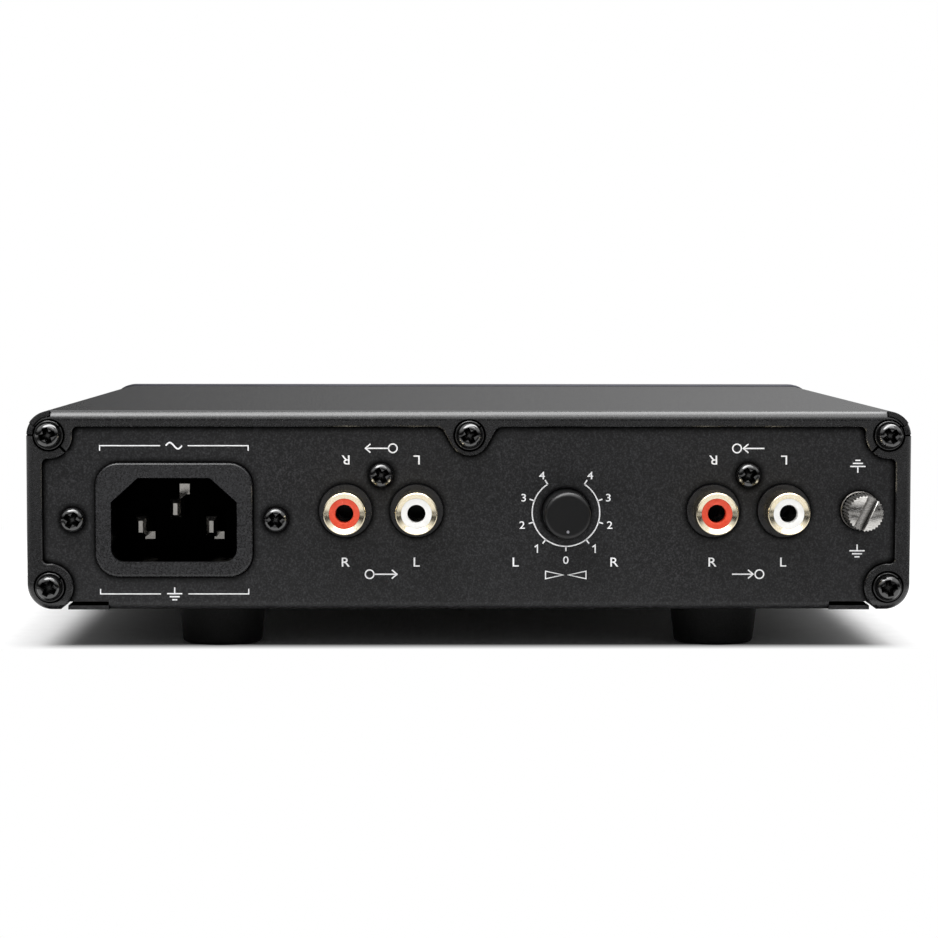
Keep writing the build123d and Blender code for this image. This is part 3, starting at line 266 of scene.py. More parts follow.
# %% Screws, zinc and nickel
# Painted shade in the cross recess, within 0.8 mm
finishes["black_screw"] = grained(
    "Oiled black oxide steel", "#040404", 0.08, more={"IOR": 2.0}, shade_reach=0.8, size=0.5,
    depth=0.004, tones=("#020202", "#080809"), gloss=(0.04, 0.12))
finishes["zinc_steel"] = grained(
    "Zinc plated steel", "#aeb3b8", 0.32, 1.0, size=1.2, depth=0.002,
    tones=("#9ba1a8", "#c3c8cc"), gloss=(0.24, 0.42))
finishes["nickel_plate"] = grained(
    "Bright nickel plate", "#d2cfca", 0.16, 1.0, size=0.25, depth=0.003,
    tones=("#c5c1bb", "#dedbd6"), gloss=(0.1, 0.26))
# Painted shade in the slot and the knurl, within 0.9 mm
turned_nickel = grained(
    "Turned nickel on brass", "#dcd9d5", 0.2, 1.0, shade_reach=0.9, size=0.3, depth=0.006,
    tones=("#bdbab5", "#efedea"), gloss=(0.12, 0.3), stretch=(0.3, 1.0, 2.0))
# Painted shade: the nickel made darker and duller, with wide crevice shade, for the washer in the
# screw head's shadow
shaded_nickel = grained(
    "Nickel with painted shade", "#8a8783", 0.35, 1.0, shade_reach=3.0, size=0.4, depth=0.004,
    tones=("#6d6a67", "#96938f"), gloss=(0.3, 0.45))

# %% [markdown]
# ## Gold flash on the phono barrels
# The barrels are turned brass with a flash of pale gold. Turning leaves faint rings round them. A
# thin flash is paler than bullion, close to cream, and it darkens to brown only where it mirrors
# the panel.

# %% Gold
finishes["gold_plate"] = grained(
    "Gold flash on brass", "#f2e6cb", 0.2, 1.0, size=0.4, depth=0.002,
    tones=("#eddfbe", "#f8efd9"), gloss=(0.14, 0.26), stretch=(1.0, 3.0, 1.0))

# %% [markdown]
# ## Mouldings and rubber
# The inlet is glass-filled nylon, whose fibres leave a dull, slightly grey skin. The socket blocks
# and the knob are ABS: the blocks from a polished mould, the knob from an etched one that gives a
# satin skin. The feet are rubber, duller again. The moulded pieces inside the case and the coloured
# sleeves of the sockets are the same recipe with their own grain, so a list of real values makes
# them all.

# %% Moulded plastics and rubber
mouldings = (
    # slot, name, base colour, two tones, roughness range, grain in mm, depth in mm
    ("inlet_nylon", "Glass-filled nylon",
     "#171718", ("#101011", "#303032"), (0.2, 0.36), 0.35, 0.014),
    ("socket_moulding", "Polished black ABS",
     "#1d1d1f", ("#1a1a1c", "#232325"), (0.25, 0.35), 1.5, 0.002),
    ("knob_plastic", "Satin black ABS",
     "#060607", ("#050506", "#0b0b0c"), (0.3, 0.4), 0.3, 0.003),
    ("switch_case", "Black polyester moulding",
     "#1b1b1c", ("#161617", "#222224"), (0.4, 0.5), 0.8, 0.004),
    ("pot_case", "Grey phenolic moulding",
     "#2e2e31", ("#27272a", "#38383b"), (0.4, 0.52), 0.6, 0.006),
    ("pot_shaft", "Natural acetal",
     "#d6d3cb", ("#cfccc3", "#dedbd4"), (0.3, 0.4), 2.0, 0.003),
    ("header_nylon", "Natural nylon",
     "#e2dfd2", ("#d9d5c6", "#e9e7dd"), (0.35, 0.45), 1.5, 0.004),
    ("relay_case", "White polyester moulding",
     "#e8e8e4", ("#e2e2dd", "#efefec"), (0.25, 0.35), 2.0, 0.003),
    ("chip_epoxy", "Moulded epoxy",
     "#1d1d1e", ("#19191a", "#262628"), (0.5, 0.65), 0.12, 0.006),
    ("film_case", "Red polyester box",
     "#a8321f", ("#9e2b1a", "#b23a26"), (0.2, 0.3), 2.5, 0.002),
    ("ferrite", "Sintered ferrite",
     "#35353a", ("#2a2a2e", "#45454a"), (0.5, 0.7), 0.25, 0.015),
    ("foot_rubber", "Moulded black rubber",
     "#080808", ("#060606", "#0b0b0b"), (0.7, 0.85), 0.35, 0.012),
    ("insulator_red", "Red polypropylene",
     "#d1482f", ("#cb4229", "#d74e36"), (0.2, 0.28), 1.2, 0.002),
    ("insulator_white", "White polypropylene",
     "#e2e1de", ("#deddda", "#e7e6e4"), (0.3, 0.38), 1.2, 0.002),
)
for slot, name, colour, tones, gloss, size, depth in mouldings:
    finishes[slot] = grained(name, colour, gloss[0], size=size, depth=depth, tones=tones,
                             gloss=gloss)
print(len(mouldings), "moulded finishes")

# %% [markdown]
# ## Painted shade inside the inlet
# Hardly any light comes back out of the inlet's cavity, so its shade is painted in. Its depth
# behind the panel's face is known, so the nylon's colour is faded to near black along that depth,
# and the
# finish to metal: a metal mirrors only its own colour, and black metal mirrors nothing, so its
# reflections are painted out too. Painted crevice shade goes on top.

# %% Paint shade into the cavity
SHADE_START, SHADE_END = -0.8, 1.5    # mm behind the panel's face
tree = finishes["inlet_nylon"].node_tree
shader = tree.nodes["Principled BSDF"]
skin = shader.inputs["Base Color"].links[0].from_socket
place = add(tree, "ShaderNodeTexCoord", output="Object")
depth = add(tree, "ShaderNodeSeparateXYZ", {0: place}, output="Y")
# Painted shade: deeper in the cavity, the nylon fades to near black and to black metal
cavity_shade = add(tree, "ShaderNodeMapRange", {
    "Value": depth, "From Min": panel_y + SHADE_START * MM, "From Max": panel_y + SHADE_END * MM})
shaded_skin = add(tree, "ShaderNodeMix", {
    "Factor": cavity_shade, 6: skin, 7: linear("#030303")}, data_type="RGBA", output=2)
tree.links.new(shaded_skin, shader.inputs["Base Color"])
tree.links.new(cavity_shade, shader.inputs["Metallic"])
painted_crevice_shade(tree, shader, reach=1.0)
print("cavity fades over", SHADE_END - SHADE_START, "mm")

# %% [markdown]
# ## Clear pieces
# The indicator is a clear acrylic rod in front of a tinted lamp. Both pass light, so their shaders
# transmit it, with a whisper of haze from the mould.

# %% Acrylic and lamp resin
for slot, name, colour, index, haze in (
        ("light_pipe", "Clear acrylic", "#f2f6fa", 1.49, (0.03, 0.12)),
        ("led_resin", "Blue tinted epoxy", "#bcd2f4", 1.53, (0.08, 0.18))):
    clear = {"IOR": index, "Transmission Weight": 0.85}
    finishes[slot] = grained(name, colour, haze[0], more=clear, size=0.8, gloss=haze)

# %% [markdown]
# ## Circuit boards
# The boards are glass-epoxy with a green solder mask. Copper tracks under the mask show as paler
# lines that keep to a grid, and drilled pads sit on a tenth-inch grid, 2.54 mm. A brick texture
# turned on its side draws the tracks, and the distance to the nearest grid point draws the pads.

# %% Circuit board
GRID = 2.54
TRACK = 0.22
PAD = 0.24      # radius, as a share of the grid
material, tree, shader, in_mm = start_finish("Green solder mask on glass-epoxy", "#12402a", 0.35)
tracks = add(tree, "ShaderNodeTexBrick", {
    "Vector": in_mm, "Scale": 1.0, "Brick Width": 4 * GRID, "Row Height": GRID,
    "Mortar Size": TRACK, "Mortar Smooth": 0.1, "Color1": linear("#103a25"),
    "Color2": linear("#123f29"), "Mortar": linear("#2a6a45")}, offset=0.35, output=None).outputs
cell = add(tree, "ShaderNodeVectorMath", {0: in_mm, "Scale": 1 / GRID}, operation="SCALE")
inside = add(tree, "ShaderNodeVectorMath", {0: cell}, operation="FRACTION")
off = add(tree, "ShaderNodeVectorMath", {0: inside, 1: (0.5, 0.5, 0.0)}, operation="SUBTRACT")
off = add(tree, "ShaderNodeVectorMath", {0: off, 1: (1.0, 1.0, 0.0)}, operation="MULTIPLY")
reach = add(tree, "ShaderNodeVectorMath", {0: off}, operation="LENGTH", output="Value")
dots = add(tree, "ShaderNodeMath", {0: reach, 1: PAD}, operation="LESS_THAN")
patch = add(tree, "ShaderNodeTexNoise", {
    "Vector": in_mm, "Scale": 0.12, "Detail": 0.0}, output="Fac")
some = add(tree, "ShaderNodeMath", {0: patch, 1: 0.56}, operation="GREATER_THAN")
pads = add(tree, "ShaderNodeMath", {0: dots, 1: some}, operation="MULTIPLY")
mixed = add(tree, "ShaderNodeMix", {
    "Factor": pads, 6: tracks["Color"], 7: linear("#b8bcc0")}, data_type="RGBA", output=2)
tree.links.new(mixed, shader.inputs["Base Color"])
bump = add(tree, "ShaderNodeBump", {"Height": tracks["Fac"], "Distance": 0.03 * MM})
tree.links.new(bump, shader.inputs["Normal"])
finishes["circuit_board"] = material

# %% [markdown]
# ## Capacitor sleeves
# An electrolytic capacitor is an aluminium can in a shrunk plastic sleeve. A pale stripe down one
# side marks the negative lead, and the bare metal shows on top. The small cans stand in a row at an
# even pitch, so folding the distance along the row by that pitch gives every can the same stripe.

# %% Capacitor sleeves
SLEEVE = "#17181c"
STRIPE_FROM = 0.42    # from the can's middle, as a share of its width
BARE_TOP = 0.3
ALONE = 1000.0        # a pitch that never folds, for a single can


def sleeve_finish(name, node, count):
    """Sleeve, stripe and bare top for a row of equal cans."""
    material, tree, shader, in_mm = start_finish(name, SLEEVE, 0.3)
    low, high = (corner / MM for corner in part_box(node))
    across = high.y - low.y
    pitch = (high.x - low.x - across) / (count - 1) if count > 1 else ALONE
    split = add(tree, "ShaderNodeSeparateXYZ", {0: in_mm}, output=None).outputs
    start = add(tree, "ShaderNodeMath", {
        0: split["X"], 1: low.x + across / 2 - pitch / 2}, operation="SUBTRACT")
    folded = add(tree, "ShaderNodeMath", {0: start, 1: pitch}, operation="FLOORED_MODULO")
    stripe = add(tree, "ShaderNodeMath", {
        0: folded, 1: pitch / 2 + across * STRIPE_FROM}, operation="GREATER_THAN")
    bare = add(tree, "ShaderNodeMath", {
        0: split["Z"], 1: high.z - BARE_TOP}, operation="GREATER_THAN")
    colour = linear(SLEEVE)
    for where, tone in ((stripe, "#9aa0a8"), (bare, "#b4b6b9")):
        colour = add(tree, "ShaderNodeMix", {
            "Factor": where, 6: colour, 7: linear(tone)}, data_type="RGBA", output=2)
    tree.links.new(colour, shader.inputs["Base Color"])
    tree.links.new(bare, shader.inputs["Metallic"])
    print(name, "pitch", round(pitch, 2), "mm")
    return material


finishes["capacitor_sleeve"] = sleeve_finish(
    "Shrunk capacitor sleeve", "electrolytic_capacitors", 4)
bulk_sleeve = sleeve_finish("Shrunk mains capacitor sleeve", "bulk_capacitor", 1)

# %% [markdown]
# ## Tape, wire, ribbon and fuse
# The transformer is wrapped in yellow polyester tape, whose turns overlap every few millimetres.
# The choke is wound with enamelled copper. The link between the boards is grey ribbon cable with a
# ridge for each wire, 1.27 mm apart, and a red edge that marks the first one. The fuse is a glass
# tube, clear in the middle and plated at both ends, which one mask along its length tells apart.

# %% Tape and wire
material, tree, shader, in_mm = start_finish("Yellow polyester tape", "#e0b02a", 0.25,
                                             more={"Coat Weight": 0.3})
bands = add(tree, "ShaderNodeTexWave", {
    "Vector": in_mm, "Scale": 0.08, "Distortion": 0.3}, bands_direction="Z", output="Fac")
colour = add(tree, "ShaderNodeMix", {
    "Factor": bands, 6: linear("#d6a422"), 7: linear("#e8bb3a")}, data_type="RGBA", output=2)
tree.links.new(colour, shader.inputs["Base Color"])
finishes["winding_tape"] = material
finishes["choke_wire"] = grained(
    "Enamelled copper", "#a5512a", 0.22, 1.0, more={"Coat Weight": 0.4}, size=0.6,
    tones=("#9a4823", "#b35e34"), gloss=(0.18, 0.3))

# %% Ribbon
RIBBON = "#8b8b90"
WIRE_PITCH = 1.27
material, tree, shader, in_mm = start_finish("Grey ribbon cable", RIBBON, 0.45)
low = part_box("board_link")[0] / MM
along = add(tree, "ShaderNodeSeparateXYZ", {0: in_mm}, output="Y")
wires = add(tree, "ShaderNodeMath", {0: along, 1: 2 * math.pi / WIRE_PITCH}, operation="MULTIPLY")
ridge = add(tree, "ShaderNodeMath", {0: wires}, operation="SINE")
bump = add(tree, "ShaderNodeBump", {"Height": ridge, "Distance": 0.15 * MM})
tree.links.new(bump, shader.inputs["Normal"])
first = add(tree, "ShaderNodeMath", {0: along, 1: low.y + WIRE_PITCH}, operation="LESS_THAN")
colour = add(tree, "ShaderNodeMix", {
    "Factor": first, 6: linear(RIBBON), 7: linear("#b3382c")}, data_type="RGBA", output=2)
tree.links.new(colour, shader.inputs["Base Color"])
finishes["link_ribbon"] = material

# %% Fuse
GLASS = "#f0f4f0"
material, tree, shader, in_mm = start_finish("Glass fuse with plated caps", GLASS, 0.08,
                                             more={"IOR": 1.5})
low, high = (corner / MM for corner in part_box("mains_fuse"))
along = add(tree, "ShaderNodeSeparateXYZ", {0: in_mm}, output="Y")
from_middle = add(tree, "ShaderNodeMath", {0: along, 1: (low.y + high.y) / 2}, operation="SUBTRACT")
away = add(tree, "ShaderNodeMath", {0: from_middle}, operation="ABSOLUTE")
cap = add(tree, "ShaderNodeMath", {0: away, 1: (high.y - low.y) / 4}, operation="GREATER_THAN")
clear = add(tree, "ShaderNodeMath", {0: 1.0, 1: cap}, operation="SUBTRACT")
colour = add(tree, "ShaderNodeMix", {
    "Factor": cap, 6: linear(GLASS), 7: linear("#cfccc7")}, data_type="RGBA", output=2)
for value, socket in ((colour, "Base Color"), (cap, "Metallic"), (clear, "Transmission Weight")):
    tree.links.new(value, shader.inputs[socket])
finishes["fuse_glass"] = material

# %% [markdown]
# ## Putting the finishes on
# Every solid names the finish it is meant to have, in its record. Reading that list keeps the
# finishes with the right solids, and the mesh itself is left alone. Four solids have a variant of
# their own: the large capacitor, the ground screw, its washer and the chassis.

# %% Assign the finishes


def coat(mesh, material):
    """Leaves one finish on a mesh."""
    mesh.materials.clear()
    mesh.materials.append(material)


slots = {entry["node"]: entry["material_slot"] for entry in frame["record"]["subparts"]}
for node, slot in slots.items():
    coat(frame["nodes"][node].data, finishes[slot])
# The washer's variant is the nickel with painted shade
variants = {"bulk_capacitor": bulk_sleeve, "ground_screw": turned_nickel,
            "ground_washer": shaded_nickel, "chassis": chassis_coat}
for node, material in variants.items():
    coat(frame["nodes"][node].data, material)
print(len(finishes) + len(variants), "finishes on", len(slots), "nodes")

# %% [markdown]
# ## Screen print on the panel
# The scale and the marks are screen-printed in white ink, which stands a few hundredths of a
# millimetre proud of the powder coat. It could be painted in a shader, but real shapes stay crisp
# at any distance. Ink over a textured coat is slightly uneven, so its white varies a little. Words
# stay off the panel: plain symbols stand where a maker would print them.

# %% Ink
INK_DEPTH = 0.03
ink = grained("White screen ink", "#e4e4e4", 0.5, size=0.3, depth=0.004,
              tones=("#d6d6d8", "#f0f0f0"))


def as_mesh(shape, name):
    """A finished BMesh as a mesh, with its faces turned outwards."""
    bmesh.ops.recalc_face_normals(shape, faces=shape.faces)
    mesh = bpy.data.meshes.new(name)
    shape.to_mesh(mesh)
    shape.free()
    return mesh


def in_scene(name, data):
    """A new object, linked into the scene."""
    made = bpy.data.objects.new(name, data)
    bpy.context.scene.collection.objects.link(made)
    return made


def as_piece(mesh, name, material, body="case"):
    """A mesh as a named piece on one of the bodies, in its finish."""
    mesh.name = name
    coat(mesh, material)
    piece = in_scene(name, mesh)
    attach(piece, body)
    print(name, len(mesh.polygons), "faces")
    return piece


def upright(place):
    """Stands a flat drawing, made in millimetres on XY, up against a place."""
    return place @ Matrix.Rotation(math.pi / 2, 4, "X") @ Matrix.Scale(MM, 4)


def onto_panel(mesh, across, up, turn=0.0):
    """Stands a flat drawing against the panel."""
    place = Matrix.Translation(on_panel(across, up))
    mesh.transform(upright(place @ Matrix.Rotation(math.radians(turn), 4, "Y")))
    return mesh


# %% [markdown]
# ## The balance scale, with Geometry Nodes
# The scale is an arc with evenly spaced ticks, which is a rule rather than a drawing. A small node
# tree makes it: an arc swept by a flat strip, and one tick stood on each point of the same arc. The
# sizes are named inputs of the tree, so that a longer tick or a wider gap is one number.

# %% Scale tree


def start_tree(name, sizes, count, finish, result):
    """A tree that takes some sizes, a count and a finish. Returns it with its inputs."""
    tree = bpy.data.node_groups.new(name, "GeometryNodeTree")
    kinds = [(size, "Float") for size in sizes] + [(count, "Int"), (finish, "Material")]
    for label, kind in kinds:
        tree.interface.new_socket(label, in_out="INPUT", socket_type="NodeSocket" + kind)
    tree.interface.new_socket(result, in_out="OUTPUT", socket_type="NodeSocketGeometry")
    return tree, add(tree, "NodeGroupInput", output=None).outputs


def end_tree(tree, geometry, finish, result):
    """Ends a tree with real geometry in its finish."""
    real = add(tree, "GeometryNodeRealizeInstances", {"Geometry": geometry})
    coated = add(tree, "GeometryNodeSetMaterial", {"Geometry": real, "Material": finish})
    add(tree, "NodeGroupOutput", {result: coated})
    print(tree.name, "has", len(tree.nodes), "nodes")


sizes = {"Radius": 6.66, "Half sweep": 147.2, "Line": 0.26, "Tick": 1.0, "Depth": INK_DEPTH}
tree, given = start_tree("Printed scale", sizes, "Marks", "Ink", "Scale")
half_sweep = add(tree, "ShaderNodeMath", {0: given["Half sweep"]}, operation="RADIANS")
sweep = add(tree, "ShaderNodeMath", {0: half_sweep, 1: 2.0}, operation="MULTIPLY")
start = add(tree, "ShaderNodeMath", {0: -math.pi / 2, 1: half_sweep}, operation="SUBTRACT")
arc = add(tree, "GeometryNodeCurveArc", {
    "Resolution": 97, "Radius": given["Radius"], "Start Angle": start, "Sweep Angle": sweep},
    output="Curve")
strip = add(tree, "GeometryNodeCurvePrimitiveQuadrilateral", {
    "Width": given["Line"], "Height": given["Depth"]})
line = add(tree, "GeometryNodeCurveToMesh", {
    "Curve": arc, "Profile Curve": strip, "Fill Caps": True})
stations = add(tree, "GeometryNodeResampleCurve", {"Curve": arc, "Count": given["Marks"]})
tick_size = add(tree, "ShaderNodeCombineXYZ", {
    "X": given["Tick"], "Y": given["Line"], "Z": given["Depth"]})
tick = add(tree, "GeometryNodeMeshCube", {"Size": tick_size}, output="Mesh")
half_tick = add(tree, "ShaderNodeMath", {0: given["Tick"], 1: 0.5}, operation="MULTIPLY")
outwards = add(tree, "ShaderNodeCombineXYZ", {"X": half_tick})
tick = add(tree, "GeometryNodeTransform", {"Geometry": tick, "Translation": outwards})
centre_out = add(tree, "GeometryNodeInputPosition")
facing = add(tree, "FunctionNodeAlignRotationToVector", {"Vector": centre_out}, axis="X")
ticks = add(tree, "GeometryNodeInstanceOnPoints", {
    "Points": stations, "Instance": tick, "Rotation": facing})
both = add(tree, "GeometryNodeJoinGeometry", output=None)
tree.links.new(line, both.inputs[0])
tree.links.new(ticks, both.inputs[0])
end_tree(tree, both.outputs[0], given["Ink"], "Scale")

# %% [markdown]
# ## From a tree to a plain mesh
# A modifier runs the tree. Its inputs are set by each socket's identifier, not by its label, and
# before the object is first evaluated. The result is then taken as a plain mesh and the modifier
# goes, so that the piece carries nothing that a later program could read in another way.

# %% Run a tree


def grow(tree, values):
    """The mesh that a tree makes with these inputs."""
    holder = in_scene("holder", bpy.data.meshes.new("holder"))
    modifier = holder.modifiers.new("grow", "NODES")
    modifier.node_group = tree
    for socket in tree.interface.items_tree:
        if socket.in_out == "INPUT" and socket.name in values:
            modifier[socket.identifier] = values[socket.name]
    made = holder.evaluated_get(bpy.context.evaluated_depsgraph_get())
    mesh = bpy.data.meshes.new_from_object(made)
    holder.modifiers.clear()
    bpy.data.objects.remove(holder)
    return mesh


# %% Print the scale
knob_low, knob_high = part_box("balance_knob")
dial_across = across_of("balance_knob")
dial_up = ((knob_low.z + knob_high.z) / 2 - underside_z) / MM
scale = grow(tree, {"Marks": 9, "Ink": ink, **sizes})
as_piece(onto_panel(scale, dial_across, dial_up), "balance_scale", ink)

# %% [markdown]
# ## Numbers and channel letters
# The dial carries plain numbers, and each socket the letter of its channel. They are printed twice,
# once the other way up, because the box is often reached over from the front. A text object gives
# the shapes; it is turned to a mesh first, then centred on its own box, because letters differ in
# width.

# %% Letters
LETTER_SPREAD = 1.14     # wider than the plain typeface
LETTER_WEIGHT = 0.015    # and bolder, in mm
CAPITAL = 0.73           # height of a capital, as a share of the type size
MERGED = 0.0002          # mm, less than any gap in the print


def letter(word, height, across, up, turn=0.0):
    """One printed word as a mesh, its box centred on a place on the panel."""
    text = bpy.data.curves.new(word, "FONT")
    text.body = word
    text.size = height / CAPITAL
    text.extrude = INK_DEPTH / 2
    text.offset = LETTER_WEIGHT
    text.resolution_u = 4
    holder = in_scene(word, text)
    bpy.context.view_layer.update()
    made = holder.evaluated_get(bpy.context.evaluated_depsgraph_get())
    mesh = bpy.data.meshes.new_from_object(made)
    bpy.data.objects.remove(holder)
    points = [v.co for v in mesh.vertices]
    middle = [(min(p[i] for p in points) + max(p[i] for p in points)) / 2 for i in (0, 1)]
    centred = Matrix.Translation((-middle[0], -middle[1], 0.0))
    mesh.transform(Matrix.Diagonal((LETTER_SPREAD, 1.0, 1.0, 1.0)) @ centred)
    return onto_panel(mesh, across, up, turn)


def gathered(meshes, name):
    """Several printed meshes as one piece."""
    whole = bmesh.new()
    for mesh in meshes:
        whole.from_mesh(mesh)
        bpy.data.meshes.remove(mesh)
    bmesh.ops.remove_doubles(whole, verts=whole.verts, dist=MERGED * MM)
    as_piece(as_mesh(whole, name), name, ink)


NUMBER_HEIGHT = 1.55
LETTER_HEIGHT = 1.88
NUMBERS = (("0", 0.0, -9.4), ("2", 8.65, -2.45), ("3", 8.35, 2.95), ("4", 4.75, 7.35))
SCALE_ENDS = (("L", -9.9), ("R", 9.6))
ENDS_DOWN = 9.8
printed = []
for digit, across, up in NUMBERS:
    for side in ((1,) if across == 0 else (-1, 1)):
        printed.append(letter(digit, NUMBER_HEIGHT, dial_across + side * across, dial_up + up))
for sign, across in SCALE_ENDS:
    printed.append(letter(sign, LETTER_HEIGHT, dial_across + across, dial_up - ENDS_DOWN))
gathered(printed, "dial_numbers")

# %% Channel letters at the sockets
LETTER_ROWS = ((9.4, 0.0), (29.6, 180.0))    # up the panel, and turned
printed = []
for node, sign in (("output_right_shell", "R"), ("output_left_shell", "L"),
                   ("input_right_shell", "R"), ("input_left_shell", "L")):
    for up, turn in LETTER_ROWS:
        printed.append(letter(sign, LETTER_HEIGHT, across_of(node), up, turn))
gathered(printed, "channel_letters")

# %% [markdown]
# ## Symbols in line
# Arrows show which way the signal goes, a wave marks the mains inlet, and the bars of an earth mark
# stand at the ground screw. All are lines of one width, so one function draws a line of that width
# through any points, with mitred corners, and gives it the thickness of the ink.

# %% Line drawing
LINE = 0.26
THIN_LINE = 0.22
MITRE = 0.4    # sharper corners than this cosine's are cut short


def drawn(points, across, up, turn=0.0, width=LINE, closed=False):
    """A line through points in millimetres, as a strip of ink on the panel."""
    strip = bmesh.new()
    corners = [Vector(p) for p in points]
    count = len(corners)
    edges = []
    for i, point in enumerate(corners):
        before = corners[i - 1] if closed or i else None
        after = corners[(i + 1) % count] if closed or i < count - 1 else None
        ways = [w.normalized() for w in ((point - before) if before else None,
                                         (after - point) if after else None) if w]
        way = sum(ways, Vector((0.0, 0.0))).normalized()
        reach = width / 2 / max(way.dot(ways[0]), MITRE)
        side = Vector((-way.y, way.x)) * reach
        edges.append([strip.verts.new((*(point + s * side), 0.0)) for s in (1, -1)])
    faces = []
    for i in range(count if closed else count - 1):
        here, there = edges[i], edges[(i + 1) % count]
        faces.append(strip.faces.new((here[0], here[1], there[1], there[0])))
    lifted = bmesh.ops.extrude_face_region(strip, geom=faces)["geom"]
    for vertex in (g for g in lifted if isinstance(g, bmesh.types.BMVert)):
        vertex.co.z += INK_DEPTH / 2
    return onto_panel(as_mesh(strip, "line"), across, up, turn)


def ring(radius, sides=24):
    """Points of a circle."""
    angles = [2 * math.pi * k / sides for k in range(sides)]
    return [(radius * math.cos(a), radius * math.sin(a)) for a in angles]


print("lines", LINE, "mm wide")

# %% Arrows under and over the sockets
ARROW_ROWS = ((7.0, 0.0), (31.9, 180.0))
JACK, JACK_OUT = 0.85, 2.3          # radius and place of the circle that stands for the box
FAR_END, NEAR_END = 3.1, 1.05       # the far end of either arrow, and the tip at the circle
BARB, BARB_RISE, OVERLAP = 1.0, 0.85, 0.2
marks = []
for pair, leaving in (("output", True), ("input", False)):
    across = across_of(pair + "_socket_block")
    jack = -JACK_OUT if leaving else JACK_OUT
    tail, tip = (jack + JACK, FAR_END) if leaving else (-FAR_END, NEAR_END)
    head = [(tip - BARB, BARB_RISE), (tip, 0.0), (tip - BARB, -BARB_RISE)]
    for up, turn in ARROW_ROWS:
        marks.append(drawn([(x + jack, y) for x, y in ring(JACK)], across, up, turn, closed=True))
        marks.append(drawn([(tail, 0.0), (tip - OVERLAP, 0.0)], across, up, turn))
        marks.append(drawn(head, across, up, turn))
gathered(marks, "signal_arrows")

# %% Balance wedges and the digit one
WEDGE, WEDGE_DOWN = ((0.5, 0.0), (4.0, 0.75), (4.0, -0.75)), 12.35
ONE, ONE_OUT, ONE_DOWN = [(-0.45, 0.38), (0.08, 0.77), (0.08, -0.77)], 5.7, 7.2
marks = []
for side in (-1, 1):
    marks.append(drawn([(side * x, y) for x, y in WEDGE], dial_across, dial_up - WEDGE_DOWN,
                       width=THIN_LINE, closed=True))
    marks.append(drawn(ONE, dial_across + side * ONE_OUT, dial_up - ONE_DOWN, width=0.24))

# %% Mains brackets and earth marks
BRACKET = ((14.6, -1.0), (14.6, 0.0), (2.7, 0.0))
BRACKET_ROWS = ((32.4, 0.0), (3.1, 180.0))
WAVE_LONG, WAVE_HIGH, WAVE_STEPS = 3.2, 0.62, 16
EARTH_BARS = ((1.5, 0.25), (1.0, -0.35), (0.5, -0.95))
inlet_across = across_of("inlet_housing")
ground_across = across_of("ground_screw") - 0.4
wave = [(-WAVE_LONG / 2 + WAVE_LONG * k / WAVE_STEPS,
         WAVE_HIGH * math.sin(2 * math.pi * k / WAVE_STEPS)) for k in range(WAVE_STEPS + 1)]
for up, turn in BRACKET_ROWS:
    for side in (-1, 1):
        marks.append(drawn([(side * x, y) for x, y in BRACKET], inlet_across, up, turn,
                           width=THIN_LINE))
marks.append(drawn(wave, inlet_across, BRACKET_ROWS[0][0], width=0.3))
earth = [[(0.0, 1.5), (0.0, 0.35)]] + [[(-w, z), (w, z)] for w, z in EARTH_BARS]
for across, up, turn in ((ground_across, 11.4, 0.0), (ground_across, 28.6, 180.0),
                         (inlet_across, 2.9, 0.0)):
    for bar in earth:
        marks.append(drawn(bar, across, up, turn))
gathered(marks, "panel_symbols")

# %% [markdown]
# ## The pointer on the knob
# The knob has one small dimple near its edge, filled with grey paint. It is the only sign of where
# the knob points, so it rides with the knob.

# %% Pointer dot
DOT_RADIUS, DOT_DEEP, DOT_DOWN, DOT_SUNK = 0.3, 0.2, 3.1, 0.15
paint = grained("Grey pointer paint", "#77777b", 0.5, size=0.2, depth=0.003,
                tones=("#6c6c70", "#838388"))
dot = bmesh.new()
bmesh.ops.create_cone(dot, cap_ends=True, segments=20, radius1=DOT_RADIUS, radius2=DOT_RADIUS,
                      depth=DOT_DEEP)
mesh = as_mesh(dot, "knob_pointer")
knob_reach = (panel_y - knob_low.y) / MM
place = on_panel(dial_across, dial_up - DOT_DOWN, knob_reach - DOT_SUNK)
mesh.transform(upright(Matrix.Translation(place)))
as_piece(mesh, "knob_pointer", paint, "balance_control")

# %% [markdown]
# ## The mouths of the phono sockets
# Seen close, the gold rim of a phono socket is a shallow cone that runs inwards, and the coloured
# sleeve sits back behind it. The lower half of the cone mirrors the light above and the upper half
# the pale floor, which leaves a dark notch at each side. Both shapes are round, so each is one
# profile turned about the socket's own axis, and the sleeve keeps the hole and the pocket for the
# plug and its contact.

# %% Turned pieces


def turned(profile, name, slot, place, sides=64):
    """A ring turned from a closed profile of (radius, height) in mm about the Z of a place."""
    shape = bmesh.new()
    angles = [2 * math.pi * k / sides for k in range(sides)]
    rows = [[shape.verts.new((r * math.cos(a), r * math.sin(a), z)) for r, z in profile]
            for a in angles]
    corners = len(profile)
    for k in range(sides):
        here, there = rows[k], rows[(k + 1) % sides]
        for i in range(corners):
            j = (i + 1) % corners
            shape.faces.new((here[i], there[i], there[j], here[j]))
    shape.transform(place @ Matrix.Scale(MM, 4))
    mesh = as_mesh(shape, name)
    mesh.shade_smooth()
    mesh.set_sharp_from_angle(angle=math.radians(30))
    return as_piece(mesh, name, finishes[slot])


